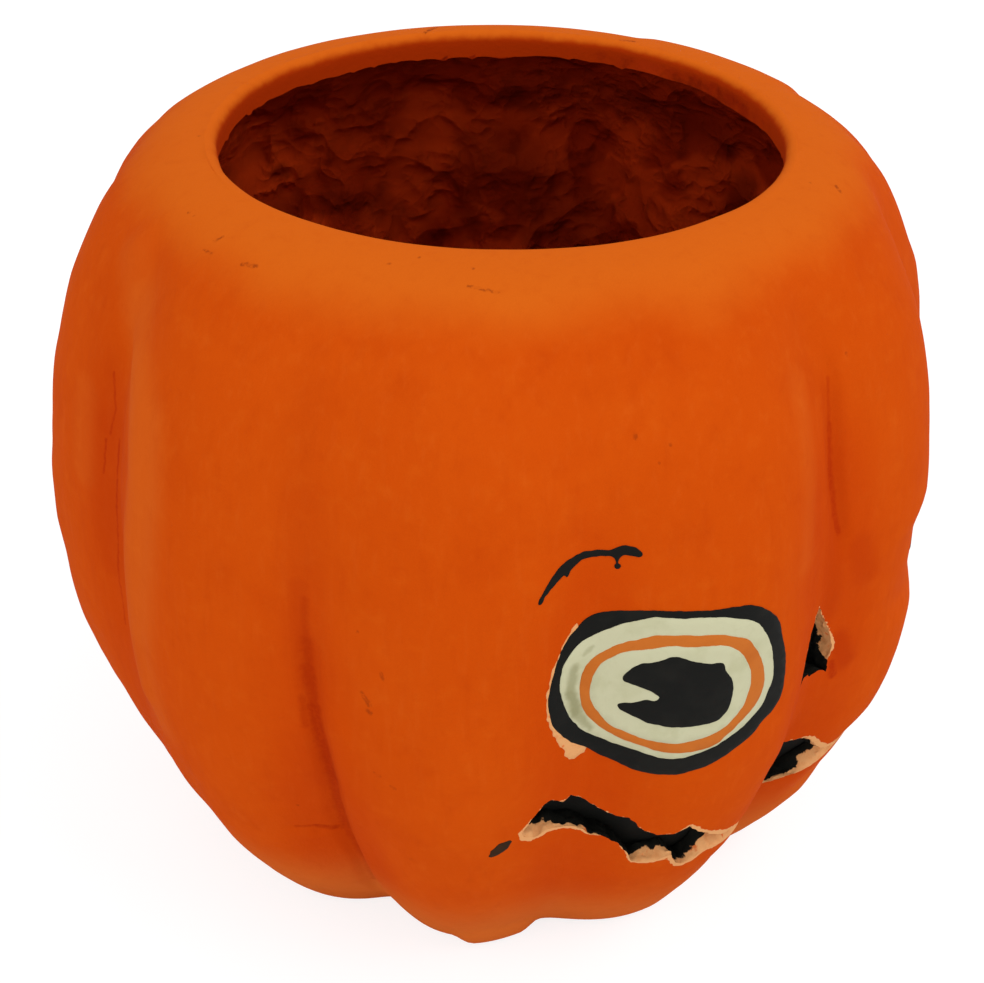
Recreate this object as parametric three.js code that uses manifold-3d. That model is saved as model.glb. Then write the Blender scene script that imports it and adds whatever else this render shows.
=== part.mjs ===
// A jack-o-lantern candy bowl in moulded paper pulp: one lobed shell, open at the top,
// with a nose and a mouth cut through its wall, black card glued behind them,
// and two eyes of cut card set flush into shallow seats.
// Millimetres, +Z up, origin at the middle of the flat base, the face towards -Y.
// A turn is an angle about the Z axis in degrees, 0 at the middle of the face.

import * as THREE from 'three';
import { mergeVertices } from 'three/addons/utils/BufferGeometryUtils.js';
import Module from 'manifold-3d';

const wasm = await Module();
wasm.setup();

// The bowl's silhouette
const bodyRadius = 115; // over the crowns of the lobes
const bowlHeight = 193; // up to where the shoulder comes level
const widestHeight = 94.5; // where the lobes reach bodyRadius
const baseRadius = 78; // the flat that the bowl stands on, before the grooves cut in
const mouthRadius = 68; // the round opening at the top
const shoulderEnd = 66; // where the shoulder's curve would come level, just inside the opening
const bellyCurve = 2; // exponents of the three curves: 2 is an ellipse, more is squarer
const footCurve = 1.15;
const shoulderCurve = 2.45;

// The moulded wall
const wall = 5;
const lipThickness = 8; // the rolled edge round the opening
const lipReach = 32; // how far below the top the wall starts to thicken into the lip
const lipRound = 2.6; // radius of the lip's edges

// Eleven grooves between eleven lobes: where each one is, and how deep it runs
// at the foot, at the waist and on the shoulder
const grooves = [
  { turn: -139.5, foot: 13.5, waist: 6, shoulder: 6 },
  { turn: -103, foot: 4, waist: 7.5, shoulder: 7 },
  { turn: -67.5, foot: 10.5, waist: 5, shoulder: 1 },
  { turn: -36, foot: 6.5, waist: 7.5, shoulder: 4 },
  { turn: -1, foot: 11.5, waist: 8.5, shoulder: 7.5 },
  { turn: 35.5, foot: 15, waist: 14, shoulder: 7 },
  { turn: 73, foot: 10, waist: 8, shoulder: 4.5 },
  { turn: 102.5, foot: 10, waist: 8, shoulder: 4 },
  { turn: 132, foot: 10, waist: 8, shoulder: 4 },
  { turn: 161.5, foot: 10, waist: 8, shoulder: 4 },
  { turn: 191, foot: 10, waist: 8, shoulder: 4 },
];
const footLevel = 45; // heights at which those depths hold
const waistLevel = 97;
const shoulderLevel = 170;
const soleShare = 0.85; // share of the foot depth that is left on the base
const grooveSoftness = 0.2; // 0 is a knife-sharp valley

// The face: outlines are laid out on the wall unrolled at bodyRadius, x to the viewer's right,
// and brought to the widths given here
const fitGap = 0.3; // clearance round and under each inlaid card, and behind the wall
const seatDepth = 1.5; // how deep the eyes' seats are
const cardProud = 0.2; // how far the eye cards stand out of the wall
const leftEyeTurn = -25.5;
const rightEyeTurn = 34;
const eyeHeight = 105;
const eyeWidth = 58.6; // across the black surround
const noseTurn = -1;
const noseHeight = 95;
const noseWidth = 14.8;
const mouthTurn = 0;
const mouthHeight = 50;
const mouthWidth = 171.4; // along the wall, from corner to corner
const backingThickness = 0.8;
const backingOverlap = 5; // how far the black card reaches past the hole that it closes
const backingSnips = 8; // straight cuts along each of its long edges

// Each eye is four fields, each laid inside the last one, and a pupil
const surroundOutline = [
  [-20, 21.5], [-11, 23.2], [3, 22.8], [16, 21], [25.5, 12.6], [29, 1], [28.2, -9], [20.5, -17.4],
  [12, -22.5], [1, -22.8], [-12, -18.8], [-22, -13], [-28.4, -5], [-29.6, 5], [-27, 15],
];
const bandOutline = [
  [-15.7, 19.2], [-7.5, 21.7], [2, 21.6], [12.6, 19.4], [20.4, 13.4], [24.3, 2], [22, -9.4],
  [14, -16.1], [3, -17.3], [-6.6, -15], [-16, -11], [-24, -5.6], [-26.7, 4.8], [-24, 13.2],
];
const ringOutline = [
  [-13.6, 15.4], [-5, 17.4], [6.2, 16.7], [15.5, 12.6], [20.8, 4], [20, -6.8], [12.8, -13.6],
  [2.6, -15.5], [-8.8, -12.4], [-17.7, -7.2], [-21.9, 3.3], [-19.7, 10.6],
];
const irisOutline = [
  [-13, 12.2], [-4.8, 14.7], [3.6, 14.1], [12.8, 11], [17, 2.5], [14.5, -7.6], [8.2, -12.2],
  [-1, -12.7], [-10.6, -9.6], [-17.8, -2.8], [-19, 5.4],
];
const pupilOutline = [
  [-4.2, 0.9], [-13, -1.1], [-11, -4.2], [-2.4, -7.8], [6.8, -8.7], [10.6, -7.4], [12.6, -2], [12.3, 3.6],
  [9.6, 8.5], [3.4, 10.2], [-0.6, 12.2], [-8.8, 10.3], [-12.4, 6.7], [-7.6, 3.4],
];

const noseOutline = [
  [0, 12.5], [3, 7.5], [6.8, 0.5], [7.6, -3], [6.8, -8], [7.4, -12], [3, -9.4], [0, -10.2],
  [-3.4, -9.2], [-7.2, -11.6], [-7, -3.4], [-3.4, 7],
];

// The left half of the mouth, whose right half is its mirror image
const mouthUpperEdge = [
  [0, 10.5], [-7.4, 9.6], [-12, 5], [-17, 0.6], [-24, -0.6], [-31, 2], [-38.9, 6.2], [-43, 10.7],
  [-49, 8.8], [-54.8, 13.1], [-58.2, 16.6], [-65.8, 19.5], [-69.8, 23.5], [-73, 24.9], [-75, 22.7],
  [-79.9, 25.7], [-83.2, 21],
];
const mouthLowerEdge = [
  [-85.7, 14.9], [-82.1, 12.4], [-79.9, 15.4], [-76.3, 13.1], [-70.8, 13.8], [-66.4, 8.9], [-59.2, 5.9],
  [-56.8, 1.2], [-53.6, -3.4], [-47.6, -3.7], [-44.6, -1.8], [-42.3, -5.9], [-38.3, -10],
  [-32.5, -3], [-24, -5.2], [-16, -7], [-7, -8.4], [0, -9],
];

// Facets
const facetsPerLobe = 10;
const lowerRows = 8;
const upperRows = 10;
const innerRowStep = 2; // the inside is meshed half as finely up and down
const lipFacets = 3;
const loopPoints = 24;

const cutterReach = 12; // how far cutting bodies run past the crowns of the lobes
const seatReach = 6; // how far the bodies that cut the eyes' seats stand out of the wall
const sheetMargin = 4; // and how far a sheet runs past the outline cut from it, up and down
const turnProbe = 0.5; // steps either way that find the slope of the surface
const stationProbe = 0.002;
const halvings = 40; // of the span in which a station is searched for
const weldDistance = 1e-4;
const sharpestMitre = 0.5; // keeps the corners of a moved outline from running far out
const millimetresPerTurn = bodyRadius * THREE.MathUtils.DEG2RAD;

function ease(x) {
  const t = THREE.MathUtils.clamp(x, 0, 1);
  return t * t * (3 - 2 * t);
}

function pointAt(turn, radius, height) {
  const angle = turn * THREE.MathUtils.DEG2RAD;
  return new THREE.Vector3(radius * Math.sin(angle), -radius * Math.cos(angle), height);
}

// Up the outside: station 0 is the edge of the base, 1 the widest height, 2 the top
function profileAt(station) {
  const quarter = Math.PI / 2;
  if (station <= 1) {
    const angle = station * quarter;
    return {
      radius: baseRadius + (bodyRadius - baseRadius) * Math.sin(angle) ** (2 / footCurve),
      height: widestHeight * (1 - Math.cos(angle) ** (2 / bellyCurve)),
    };
  }
  const mouthShare = (mouthRadius - shoulderEnd) / (bodyRadius - shoulderEnd);
  const angle = (station - 1) * Math.acos(mouthShare ** (shoulderCurve / 2));
  return {
    radius: shoulderEnd + (bodyRadius - shoulderEnd) * Math.cos(angle) ** (2 / shoulderCurve),
    height: widestHeight + (bowlHeight - widestHeight) * Math.sin(angle) ** (2 / shoulderCurve),
  };
}

// The station at which the shoulder has come in to a radius
function shoulderStation(radius) {
  let low = 1;
  let high = 2;
  for (let step = 0; step < halvings; step += 1) {
    const middle = (low + high) / 2;
    if (profileAt(middle).radius > radius) low = middle;
    else high = middle;
  }
  return low;
}

function grooveDepth(groove, height) {
  const levels = [0, footLevel, waistLevel, shoulderLevel, bowlHeight];
  const depths = [groove.foot * soleShare, groove.foot, groove.waist, groove.shoulder, 0];
  let k = 0;
  while (k < levels.length - 2 && height > levels[k + 1]) k += 1;
  const share = ease((height - levels[k]) / (levels[k + 1] - levels[k]));
  return THREE.MathUtils.lerp(depths[k], depths[k + 1], share);
}

// How far the surface lies inside the lobes' crowns
function dipAt(turn, height) {
  const first = grooves[0].turn;
  const wrapped = THREE.MathUtils.euclideanModulo(turn - first, 360) + first;
  let k = 0;
  while (k < grooves.length - 1 && wrapped >= grooves[k + 1].turn) k += 1;
  const next = grooves[(k + 1) % grooves.length];
  const end = k === grooves.length - 1 ? first + 360 : next.turn;
  const share = (wrapped - grooves[k].turn) / (end - grooves[k].turn);
  const rise = Math.hypot(Math.sin(Math.PI * share), grooveSoftness) - grooveSoftness;
  const fullRise = Math.hypot(1, grooveSoftness) - grooveSoftness;
  const deep = THREE.MathUtils.lerp(grooveDepth(grooves[k], height), grooveDepth(next, height), share);
  return deep * (1 - rise / fullRise);
}

function outsidePoint(turn, station) {
  const { radius, height } = profileAt(station);
  return pointAt(turn, radius - dipAt(turn, height), height);
}

function outsideNormal(turn, station) {
  const low = Math.max(0, station - stationProbe);
  const high = Math.min(2, station + stationProbe);
  const across = outsidePoint(turn + turnProbe, station).sub(outsidePoint(turn - turnProbe, station));
  const up = outsidePoint(turn, high).sub(outsidePoint(turn, low));
  return across.cross(up).normalize();
}

// A point under the painted surface, square to it
function pointUnder(turn, station, depth) {
  return outsidePoint(turn, station).addScaledVector(outsideNormal(turn, station), -depth);
}

function wallAt(height) {
  return wall + (lipThickness - wall) * ease((height - bowlHeight + lipReach) / lipReach);
}

// The columns of facets: every groove has one exactly in its valley
const columns = grooves.flatMap((groove, k) => {
  const end = k === grooves.length - 1 ? grooves[0].turn + 360 : grooves[k + 1].turn;
  return Array.from({ length: facetsPerLobe }, (unused, step) =>
    THREE.MathUtils.lerp(groove.turn, end, step / facetsPerLobe));
});

const lipStation = shoulderStation(mouthRadius + lipRound);
const rows = [
  ...Array.from({ length: lowerRows }, (unused, step) => step / lowerRows),
  ...Array.from({ length: upperRows + 1 }, (unused, step) =>
    1 + (lipStation - 1) * (step / upperRows)),
];
const insideRows = rows.filter((row, k) => (rows.length - 1 - k) % innerRowStep === 0 || k === 0);

function toSolid(positions, faces) {
  const geometry = new THREE.BufferGeometry().setFromPoints(positions);
  geometry.setIndex(faces.flat());
  const merged = mergeVertices(geometry, weldDistance);
  return new wasm.Manifold(new wasm.Mesh({
    numProp: 3,
    vertProperties: merged.attributes.position.array,
    triVerts: new Uint32Array(merged.index.array),
  }));
}

function toGeometry(solid) {
  const mesh = solid.getMesh();
  const geometry = new THREE.BufferGeometry();
  geometry.setAttribute('position', new THREE.BufferAttribute(mesh.vertProperties, 3));
  geometry.setIndex(new THREE.BufferAttribute(mesh.triVerts, 1));
  geometry.computeVertexNormals();
  return geometry;
}

// Rings of points, from a pole up the outside and down the inside to another pole
function ringSolid(firstPole, rings, lastPole) {
  const count = rings[0].length;
  const positions = [firstPole, ...rings.flat(), lastPole];
  const at = (ring, k) => 1 + ring * count + (k % count);
  const faces = [];
  for (let k = 0; k < count; k += 1) {
    faces.push([0, at(0, k + 1), at(0, k)]);
    for (let ring = 0; ring < rings.length - 1; ring += 1) {
      const corners = [at(ring, k), at(ring, k + 1), at(ring + 1, k + 1), at(ring + 1, k)];
      // Facets split the same way up the outside and down the inside, as a sheet's do
      const rising = rings[ring + 1][k].z > rings[ring][k].z;
      if (!rising) corners.push(corners.shift());
      const [a, b, c, d] = corners;
      faces.push([a, b, c], [a, c, d]);
    }
    faces.push([at(rings.length - 1, k), at(rings.length - 1, k + 1), positions.length - 1]);
  }
  return toSolid(positions, faces);
}

// A sheet that follows the wall between two depths, over the whole facets that cover a window
function sheetSolid([fromTurn, toTurn, fromHeight, toHeight], nearDepth, farDepth, rowsUsed) {
  const covers = (values, k, from, to) => {
    const above = values[Math.min(k + 1, values.length - 1)];
    const below = values[Math.max(k - 1, 0)];
    return above > from && below < to;
  };
  const heights = rowsUsed.map((row) => profileAt(row).height);
  const turns = columns.filter((turn, k) => covers(columns, k, fromTurn, toTurn));
  const stations = rowsUsed.filter((row, k) => covers(heights, k, fromHeight, toHeight));
  const grid = (depth) => stations.flatMap((row) => turns.map((turn) => pointUnder(turn, row, depth)));
  const positions = [...grid(nearDepth), ...grid(farDepth)];
  const wide = turns.length;
  const tall = stations.length;
  const back = wide * tall;
  const near = (row, column) => row * wide + column;
  const far = (row, column) => back + near(row, column);
  const faces = [];
  const quad = (a, b, c, d) => faces.push([a, b, c], [a, c, d]);
  for (let row = 0; row < tall - 1; row += 1) {
    for (let k = 0; k < wide - 1; k += 1) {
      quad(near(row, k), near(row, k + 1), near(row + 1, k + 1), near(row + 1, k));
      quad(far(row, k), far(row + 1, k), far(row + 1, k + 1), far(row, k + 1));
    }
    quad(near(row, 0), near(row + 1, 0), far(row + 1, 0), far(row, 0));
    quad(near(row, wide - 1), far(row, wide - 1), far(row + 1, wide - 1), near(row + 1, wide - 1));
  }
  for (let k = 0; k < wide - 1; k += 1) {
    quad(near(0, k), far(0, k), far(0, k + 1), near(0, k + 1));
    quad(near(tall - 1, k), near(tall - 1, k + 1), far(tall - 1, k + 1), far(tall - 1, k));
  }
  return toSolid(positions, faces);
}

// An outline on the unrolled wall as a body that runs straight out from the axis, through the wall
function cutterSolid(outline, turn, height) {
  const flat = outline.map(([x, y]) => new THREE.Vector2(x, y));
  if (THREE.ShapeUtils.isClockWise(flat)) flat.reverse();
  const count = flat.length;
  const loopAt = (radius) =>
    flat.map((p) => pointAt(turn + p.x / millimetresPerTurn, radius, height + p.y));
  const faces = THREE.ShapeUtils.triangulateShape(flat, []).flatMap(([a, b, c]) => [
    [a, b, c],
    [count + c, count + b, count + a],
  ]);
  for (let k = 0; k < count; k += 1) {
    const next = (k + 1) % count;
    faces.push([k, count + k, count + next], [k, count + next, next]);
  }
  return toSolid([...loopAt(bodyRadius + cutterReach), ...loopAt(shoulderEnd)], faces);
}

function smoothLoop(outline) {
  const knots = outline.map(([x, y]) => new THREE.Vector3(x, y, 0));
  const curve = new THREE.CatmullRomCurve3(knots, true, 'centripetal');
  return curve.getSpacedPoints(loopPoints).slice(0, -1).map((p) => [p.x, p.y]);
}

// The same outline moved outwards by a distance, or inwards by a negative one
function grow(outline, distance) {
  const flat = outline.map(([x, y]) => new THREE.Vector2(x, y));
  const side = THREE.ShapeUtils.isClockWise(flat) ? -1 : 1;
  return flat.map((p, k) => {
    const before = flat[(k + flat.length - 1) % flat.length];
    const after = flat[(k + 1) % flat.length];
    const first = p.clone().sub(before).normalize();
    const second = after.clone().sub(p).normalize();
    const outward = new THREE.Vector2(first.y + second.y, -first.x - second.x).normalize();
    const mitre = Math.max(sharpestMitre, Math.sqrt((1 + first.dot(second)) / 2));
    const moved = p.clone().addScaledVector(outward, (distance * side) / mitre);
    return [moved.x, moved.y];
  });
}

function mirror(outline) {
  return outline.map(([x, y]) => [-x, y]);
}

function spanOf(outline) {
  const xs = outline.map(([x]) => x);
  return Math.max(...xs) - Math.min(...xs);
}

function scaled(outline, share) {
  return outline.map(([x, y]) => [x * share, y * share]);
}

function windowOf(outline, turn, height) {
  const xs = outline.map(([x]) => x);
  const ys = outline.map(([, y]) => y);
  return [
    turn + Math.min(...xs) / millimetresPerTurn,
    turn + Math.max(...xs) / millimetresPerTurn,
    height + Math.min(...ys) - sheetMargin,
    height + Math.max(...ys) + sheetMargin,
  ];
}

// One body of the wall's own skin under an outline, between two depths
function skinPiece(outline, turn, height, nearDepth, farDepth, rowsUsed = rows) {
  const sheet = sheetSolid(windowOf(outline, turn, height), nearDepth, farDepth, rowsUsed);
  return sheet.intersect(cutterSolid(outline, turn, height));
}

function paint(color, roughness) {
  return new THREE.MeshStandardMaterial({ color, roughness, metalness: 0 });
}

const orangePulp = paint('#c94a0c', 0.8);
const blackCard = paint('#1c1c19', 0.7);
const creamCard = paint('#cfcaa6', 0.7);
const orangeCard = paint('#dd6a17', 0.7);

const bowl = new THREE.Group();

function addPiece(name, solid, material) {
  const mesh = new THREE.Mesh(toGeometry(solid), material.clone());
  mesh.name = name;
  bowl.add(mesh);
}

// The fields of an eye, from the outside in, as outlines on the wall
const eyeShare = eyeWidth / spanOf(surroundOutline);
const eyeFields = [
  { name: 'black_surround', drawn: smoothLoop(surroundOutline), material: blackCard },
  { name: 'cream_band', drawn: smoothLoop(bandOutline), material: creamCard },
  { name: 'orange_ring', drawn: smoothLoop(ringOutline), material: orangeCard },
  { name: 'cream_iris', drawn: smoothLoop(irisOutline), material: creamCard },
  { name: 'pupil', drawn: pupilOutline, material: blackCard },
].map((field) => ({ ...field, outline: scaled(field.drawn, eyeShare) }));
const eyes = [
  { side: 'left', turn: leftEyeTurn, place: (outline) => outline },
  { side: 'right', turn: rightEyeTurn, place: mirror },
];
const noseHoleOutline = scaled(noseOutline, noseWidth / spanOf(noseOutline));
const drawnMouth = [
  ...mouthUpperEdge,
  ...mouthLowerEdge,
  ...mirror(mouthLowerEdge.slice(0, -1)).reverse(),
  ...mirror(mouthUpperEdge.slice(1)).reverse(),
];
const mouthOutline = scaled(drawnMouth, mouthWidth / spanOf(drawnMouth));

// The rounded edge of the opening, from the top of the shoulder down to the inside
function lipRings() {
  const top = profileAt(lipStation).height;
  const ring = (radius, height) => columns.map((turn) => pointAt(turn, radius, height));
  const rounded = Array.from({ length: lipFacets }, (unused, step) => {
    const angle = ((step + 1) / lipFacets) * (Math.PI / 2);
    return ring(mouthRadius + lipRound * (1 - Math.sin(angle)), top - lipRound * (1 - Math.cos(angle)));
  });
  return [...rounded, ring(mouthRadius, top - lipThickness + lipRound)];
}

function addPulpShell() {
  const outside = rows.map((row) => columns.map((turn) => outsidePoint(turn, row)));
  const inside = insideRows.toReversed().map((row) =>
    columns.map((turn) => pointUnder(turn, row, wallAt(profileAt(row).height))));
  const shell = ringSolid(
    new THREE.Vector3(0, 0, 0),
    [...outside, ...lipRings(), ...inside],
    new THREE.Vector3(0, 0, wall),
  );
  const eyeSeats = eyes.map(({ turn, place }) =>
    skinPiece(place(grow(eyeFields[0].outline, fitGap)), turn, eyeHeight, -seatReach, seatDepth));
  const noseHole = cutterSolid(noseHoleOutline, noseTurn, noseHeight);
  const mouthHole = cutterSolid(mouthOutline, mouthTurn, mouthHeight);
  const cuts = [...eyeSeats, noseHole, mouthHole];
  addPiece('pulp_shell', cuts.reduce((body, cut) => body.subtract(cut), shell), orangePulp);
}

function addEye({ side, turn, place }) {
  eyeFields.forEach(({ name, outline, material }, k) => {
    const edge = k === 0 ? outline : grow(outline, -fitGap / 2);
    let card = skinPiece(place(edge), turn, eyeHeight, -cardProud, seatDepth - fitGap);
    if (k < eyeFields.length - 1) {
      const inner = place(grow(eyeFields[k + 1].outline, fitGap / 2));
      card = card.subtract(cutterSolid(inner, turn, eyeHeight));
    }
    addPiece(`${side}_eye_${name}`, card, material);
  });
}

// The outline of a card that covers a hole all round, cut with straight snips
function cardOver(outline) {
  const left = Math.min(...outline.map(([x]) => x)) - backingOverlap;
  const right = Math.max(...outline.map(([x]) => x)) + backingOverlap;
  const step = (right - left) / backingSnips;
  const stops = Array.from({ length: backingSnips + 1 }, (unused, k) => {
    const x = left + k * step;
    const near = outline.filter((p) => Math.abs(p[0] - x) <= step + backingOverlap).map((p) => p[1]);
    return { x, low: Math.min(...near) - backingOverlap, high: Math.max(...near) + backingOverlap };
  });
  return [...stops.map(({ x, low }) => [x, low]), ...stops.toReversed().map(({ x, high }) => [x, high])];
}

// Black card glued behind a hole, on the inside of the wall
function addBacking(name, outline, turn, height) {
  const front = wall + fitGap;
  const card = skinPiece(cardOver(outline), turn, height, front, front + backingThickness, insideRows);
  addPiece(name, card, blackCard);
}

addPulpShell();
eyes.forEach(addEye);
addBacking('nose_backing', noseHoleOutline, noseTurn, noseHeight);
addBacking('mouth_backing', mouthOutline, mouthTurn, mouthHeight);

export default bowl;
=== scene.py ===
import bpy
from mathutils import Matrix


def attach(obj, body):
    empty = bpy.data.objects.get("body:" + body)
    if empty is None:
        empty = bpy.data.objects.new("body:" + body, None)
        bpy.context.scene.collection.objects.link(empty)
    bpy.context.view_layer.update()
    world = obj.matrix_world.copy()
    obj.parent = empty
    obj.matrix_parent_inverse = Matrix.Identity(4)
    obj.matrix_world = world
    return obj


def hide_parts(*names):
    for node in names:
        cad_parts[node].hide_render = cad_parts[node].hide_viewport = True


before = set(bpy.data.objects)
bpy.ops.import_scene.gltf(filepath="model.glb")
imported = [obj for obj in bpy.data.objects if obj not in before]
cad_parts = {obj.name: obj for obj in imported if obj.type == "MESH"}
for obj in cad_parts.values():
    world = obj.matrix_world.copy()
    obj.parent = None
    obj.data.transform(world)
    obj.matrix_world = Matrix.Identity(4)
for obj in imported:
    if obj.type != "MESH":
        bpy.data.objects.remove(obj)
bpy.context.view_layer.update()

import math

import bpy
import numpy as np
from mathutils import Matrix, Vector, kdtree, noise
from mathutils.geometry import delaunay_2d_cdt

# A jack-o-lantern candy bowl of moulded paper pulp, painted, with eyes of pasted card.
# Lengths are in millimetres until a mesh is made. A turn is an angle about Z in degrees,
# 0 at the middle of the face and more to the viewer's right.
mm = 0.001

bowl = dict(
    bodyRadius=115, height=193, widestHeight=94.5, baseRadius=78, mouthRadius=68,
    shoulderEnd=66, bellyCurve=2, footCurve=1.15, shoulderCurve=2.45,
    wall=5, lipThickness=8, lipReach=32, lipRound=2.6,
    grooveSoftness=0.2, soleShare=0.85,
    # Lumps: (how far they stand up, size, seed), how far in all of it lies, and where they
    # fade: below the first height, and by a share between the other two
    lumps=((0.55, 38, 0), (0.3, 17, 1), (0.12, 7, 2)), lumpsIn=0.42,
    lumpsFull=12, lumpsCalm=(186, 192), calmShare=0.8,
)

# Each groove: turn, then its depth at the foot, the waist and the shoulder
grooves = np.array([
    (-139.5, 13.5, 6, 6), (-103, 4, 7.5, 7), (-67.5, 10.5, 5, 1), (-36, 6.5, 7.5, 4),
    (-1, 11.5, 8.5, 7.5), (35.5, 15, 14, 7), (73, 10, 8, 4.5), (102.5, 10, 8, 4),
    (132, 10, 8, 4), (161.5, 10, 8, 4), (191, 10, 8, 4),
])
grooveLevels = np.array([0, 45, 97, 170, bowl["height"]], float)
mmPerTurn = math.radians(bowl["bodyRadius"])

# Where the hand-pressed wall stands out or in: path of (turn, height), push, and how far
# round the bowl and up it the push reaches
reliefs = (
    (((20.2, 110), (19.7, 98)), -2.2, 26, 12),
    (((16, 48), (14.5, 34)), -2.0, 18, 11),
    (((-13, 30), (-14, 18)), -0.8, 12, 12),
    (((49, 166), (53, 181)), -1.0, 12, 12),
    (((-125, 170), (-125, 152)), -0.6, 14, 14),
    (((-151, 183), (-151, 181)), -0.9, 12, 8),
    (((74, 189), (102, 189.5)), 1.9, 9, 8),
    (((-121.5, 100), (-121.5, 111)), 0.8, 11, 11),
    (((-49, 4), (-41, 4)), 2.6, 9, 11),
    (((-90, 53), (-94, 25)), -0.8, 11, 11),
    (((-114, 69), (-117, 40)), -0.8, 11, 11),
    # The lobe beside the nose bulges over its groove
    (((-9, 108), (-8, 88), (-8.5, 76)), 1.0, 11, 12),
    # Raised edge beside the groove at the far left, and the groove's own valley
    (((-108.4, 181.4), (-104.4, 174), (-101.2, 167.3), (-94.6, 157.7), (-93, 140.3),
      (-94.6, 123.3), (-96, 100), (-95, 80.6)), 1.2, 8, 8),
    (((-104, 158), (-103.5, 128), (-104, 92)), -0.7, 10, 12),
    # Sharp creases low in the grooves
    (((-68.2, 112), (-68, 97.5), (-67.2, 85), (-66.8, 74.4), (-67.6, 59.2), (-68, 49),
      (-67.2, 33.9), (-68, 18)), -1.5, 4.2, 10),
    (((-64.8, 92), (-64.2, 74), (-64.8, 52), (-64.6, 30)), 0.8, 5.5, 12),
    (((-74, 50.8), (-68.5, 50.3)), -0.7, 2.5, 2.5),
    (((1, 163.4), (0.2, 153.5), (-0.2, 142.9), (0.6, 130.7), (1.4, 125.5)), -1.0, 3.8, 8),
)


def ease(x):
    t = np.clip(x, 0, 1)
    return t * t * (3 - 2 * t)


def ramp(value, start, end):
    return ease((value - start) / (end - start))


def lumpNoise(points, size, seed=0):
    places = (np.asarray(points, float) / size + 17.3 * seed).reshape(-1, 3)
    values = np.array([noise.noise(place) for place in places.tolist()])
    return values.reshape(np.shape(points)[:-1])


# Noise of several sizes: (share, size, seed) each
def mixedNoise(points, parts):
    return sum(share * lumpNoise(points, size, seed) for share, size, seed in parts)


# Up the outside: station 0 is the edge of the base, 1 the widest height, 2 the top
def profileAt(station):
    b = bowl
    low = np.minimum(station, 1) * math.pi / 2
    high = np.maximum(np.asarray(station) - 1, 0) * shoulderAngle
    foot = b["bodyRadius"] - b["baseRadius"]
    lowRadius = b["baseRadius"] + foot * np.sin(low) ** (2 / b["footCurve"])
    lowHeight = b["widestHeight"] * (1 - np.cos(low) ** (2 / b["bellyCurve"]))
    shoulder = b["bodyRadius"] - b["shoulderEnd"]
    highRadius = b["shoulderEnd"] + shoulder * np.cos(high) ** (2 / b["shoulderCurve"])
    rise = b["height"] - b["widestHeight"]
    highHeight = b["widestHeight"] + rise * np.sin(high) ** (2 / b["shoulderCurve"])
    isLow = np.asarray(station) <= 1
    return np.where(isLow, lowRadius, highRadius), np.where(isLow, lowHeight, highHeight)


shoulderAngle = math.acos(
    ((bowl["mouthRadius"] - bowl["shoulderEnd"]) / (bowl["bodyRadius"] - bowl["shoulderEnd"]))
    ** (bowl["shoulderCurve"] / 2))


def stationAt(height):
    b = bowl
    z = np.clip(height, 0, b["height"])
    low = np.arccos(np.clip(1 - z / b["widestHeight"], 0, 1) ** (b["bellyCurve"] / 2))
    share = np.clip((z - b["widestHeight"]) / (b["height"] - b["widestHeight"]), 0, 1)
    high = np.arcsin(share ** (b["shoulderCurve"] / 2))
    station = np.where(z <= b["widestHeight"], low / (math.pi / 2), 1 + high / shoulderAngle)
    return np.minimum(station, 2)


# How far the surface lies inside the lobes' crowns
def dipAt(turn, height):
    turn, height = np.broadcast_arrays(np.asarray(turn, float), np.asarray(height, float))
    first = grooves[0, 0]
    wrapped = (turn - first) % 360 + first
    k = np.clip(np.searchsorted(grooves[:, 0], wrapped, side="right") - 1, 0, len(grooves) - 1)
    after = (k + 1) % len(grooves)
    ends = np.append(grooves[1:, 0], first + 360)
    share = (wrapped - grooves[k, 0]) / (ends[k] - grooves[k, 0])
    level = np.clip(np.searchsorted(grooveLevels, height, side="right") - 1, 0, 3)
    up = ramp(height, grooveLevels[level], grooveLevels[level + 1])
    foot, waist, shoulder = grooves[:, 1:].T
    depths = np.stack([foot * bowl["soleShare"], foot, waist, shoulder, 0 * foot], axis=1)
    here = depths[k, level] * (1 - up) + depths[k, level + 1] * up
    there = depths[after, level] * (1 - up) + depths[after, level + 1] * up
    soft = bowl["grooveSoftness"]
    crown = (np.hypot(np.sin(math.pi * share), soft) - soft) / (math.hypot(1, soft) - soft)
    return (here * (1 - share) + there * share) * (1 - crown)


def reliefAt(turn, height):
    total = 0.0 * turn
    for path, push, across, along in reliefs:
        knots = np.array(path, float)
        first = knots[0, 0]
        knots = np.column_stack([(knots[:, 0] - first) * mmPerTurn / across, knots[:, 1] / along])
        x = ((turn - first + 180) % 360 - 180) * mmPerTurn / across
        y = height / along
        nearest = np.full(turn.shape, 1e9)
        for (startX, startY), (endX, endY) in zip(knots[:-1], knots[1:]):
            runX, runY = endX - startX, endY - startY
            share = ((x - startX) * runX + (y - startY) * runY) / (runX ** 2 + runY ** 2)
            share = np.clip(share, 0, 1)
            gap = np.hypot(x - startX - share * runX, y - startY - share * runY)
            nearest = np.minimum(nearest, gap)
        total = total + push * np.maximum(1 - nearest ** 2, 0) ** 2
    return total


# A point by its turn, its distance from the bowl's axis and its height
def placed(turn, radius, height):
    angle = np.radians(turn)
    return np.stack(np.broadcast_arrays(
        radius * np.sin(angle), -radius * np.cos(angle), height), axis=-1)


def outsidePoints(turn, station):
    turn, station = np.broadcast_arrays(np.asarray(turn, float), np.asarray(station, float))
    radius, height = profileAt(station)
    return placed(turn, radius - dipAt(turn, height) + reliefAt(turn, height), height)


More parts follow.
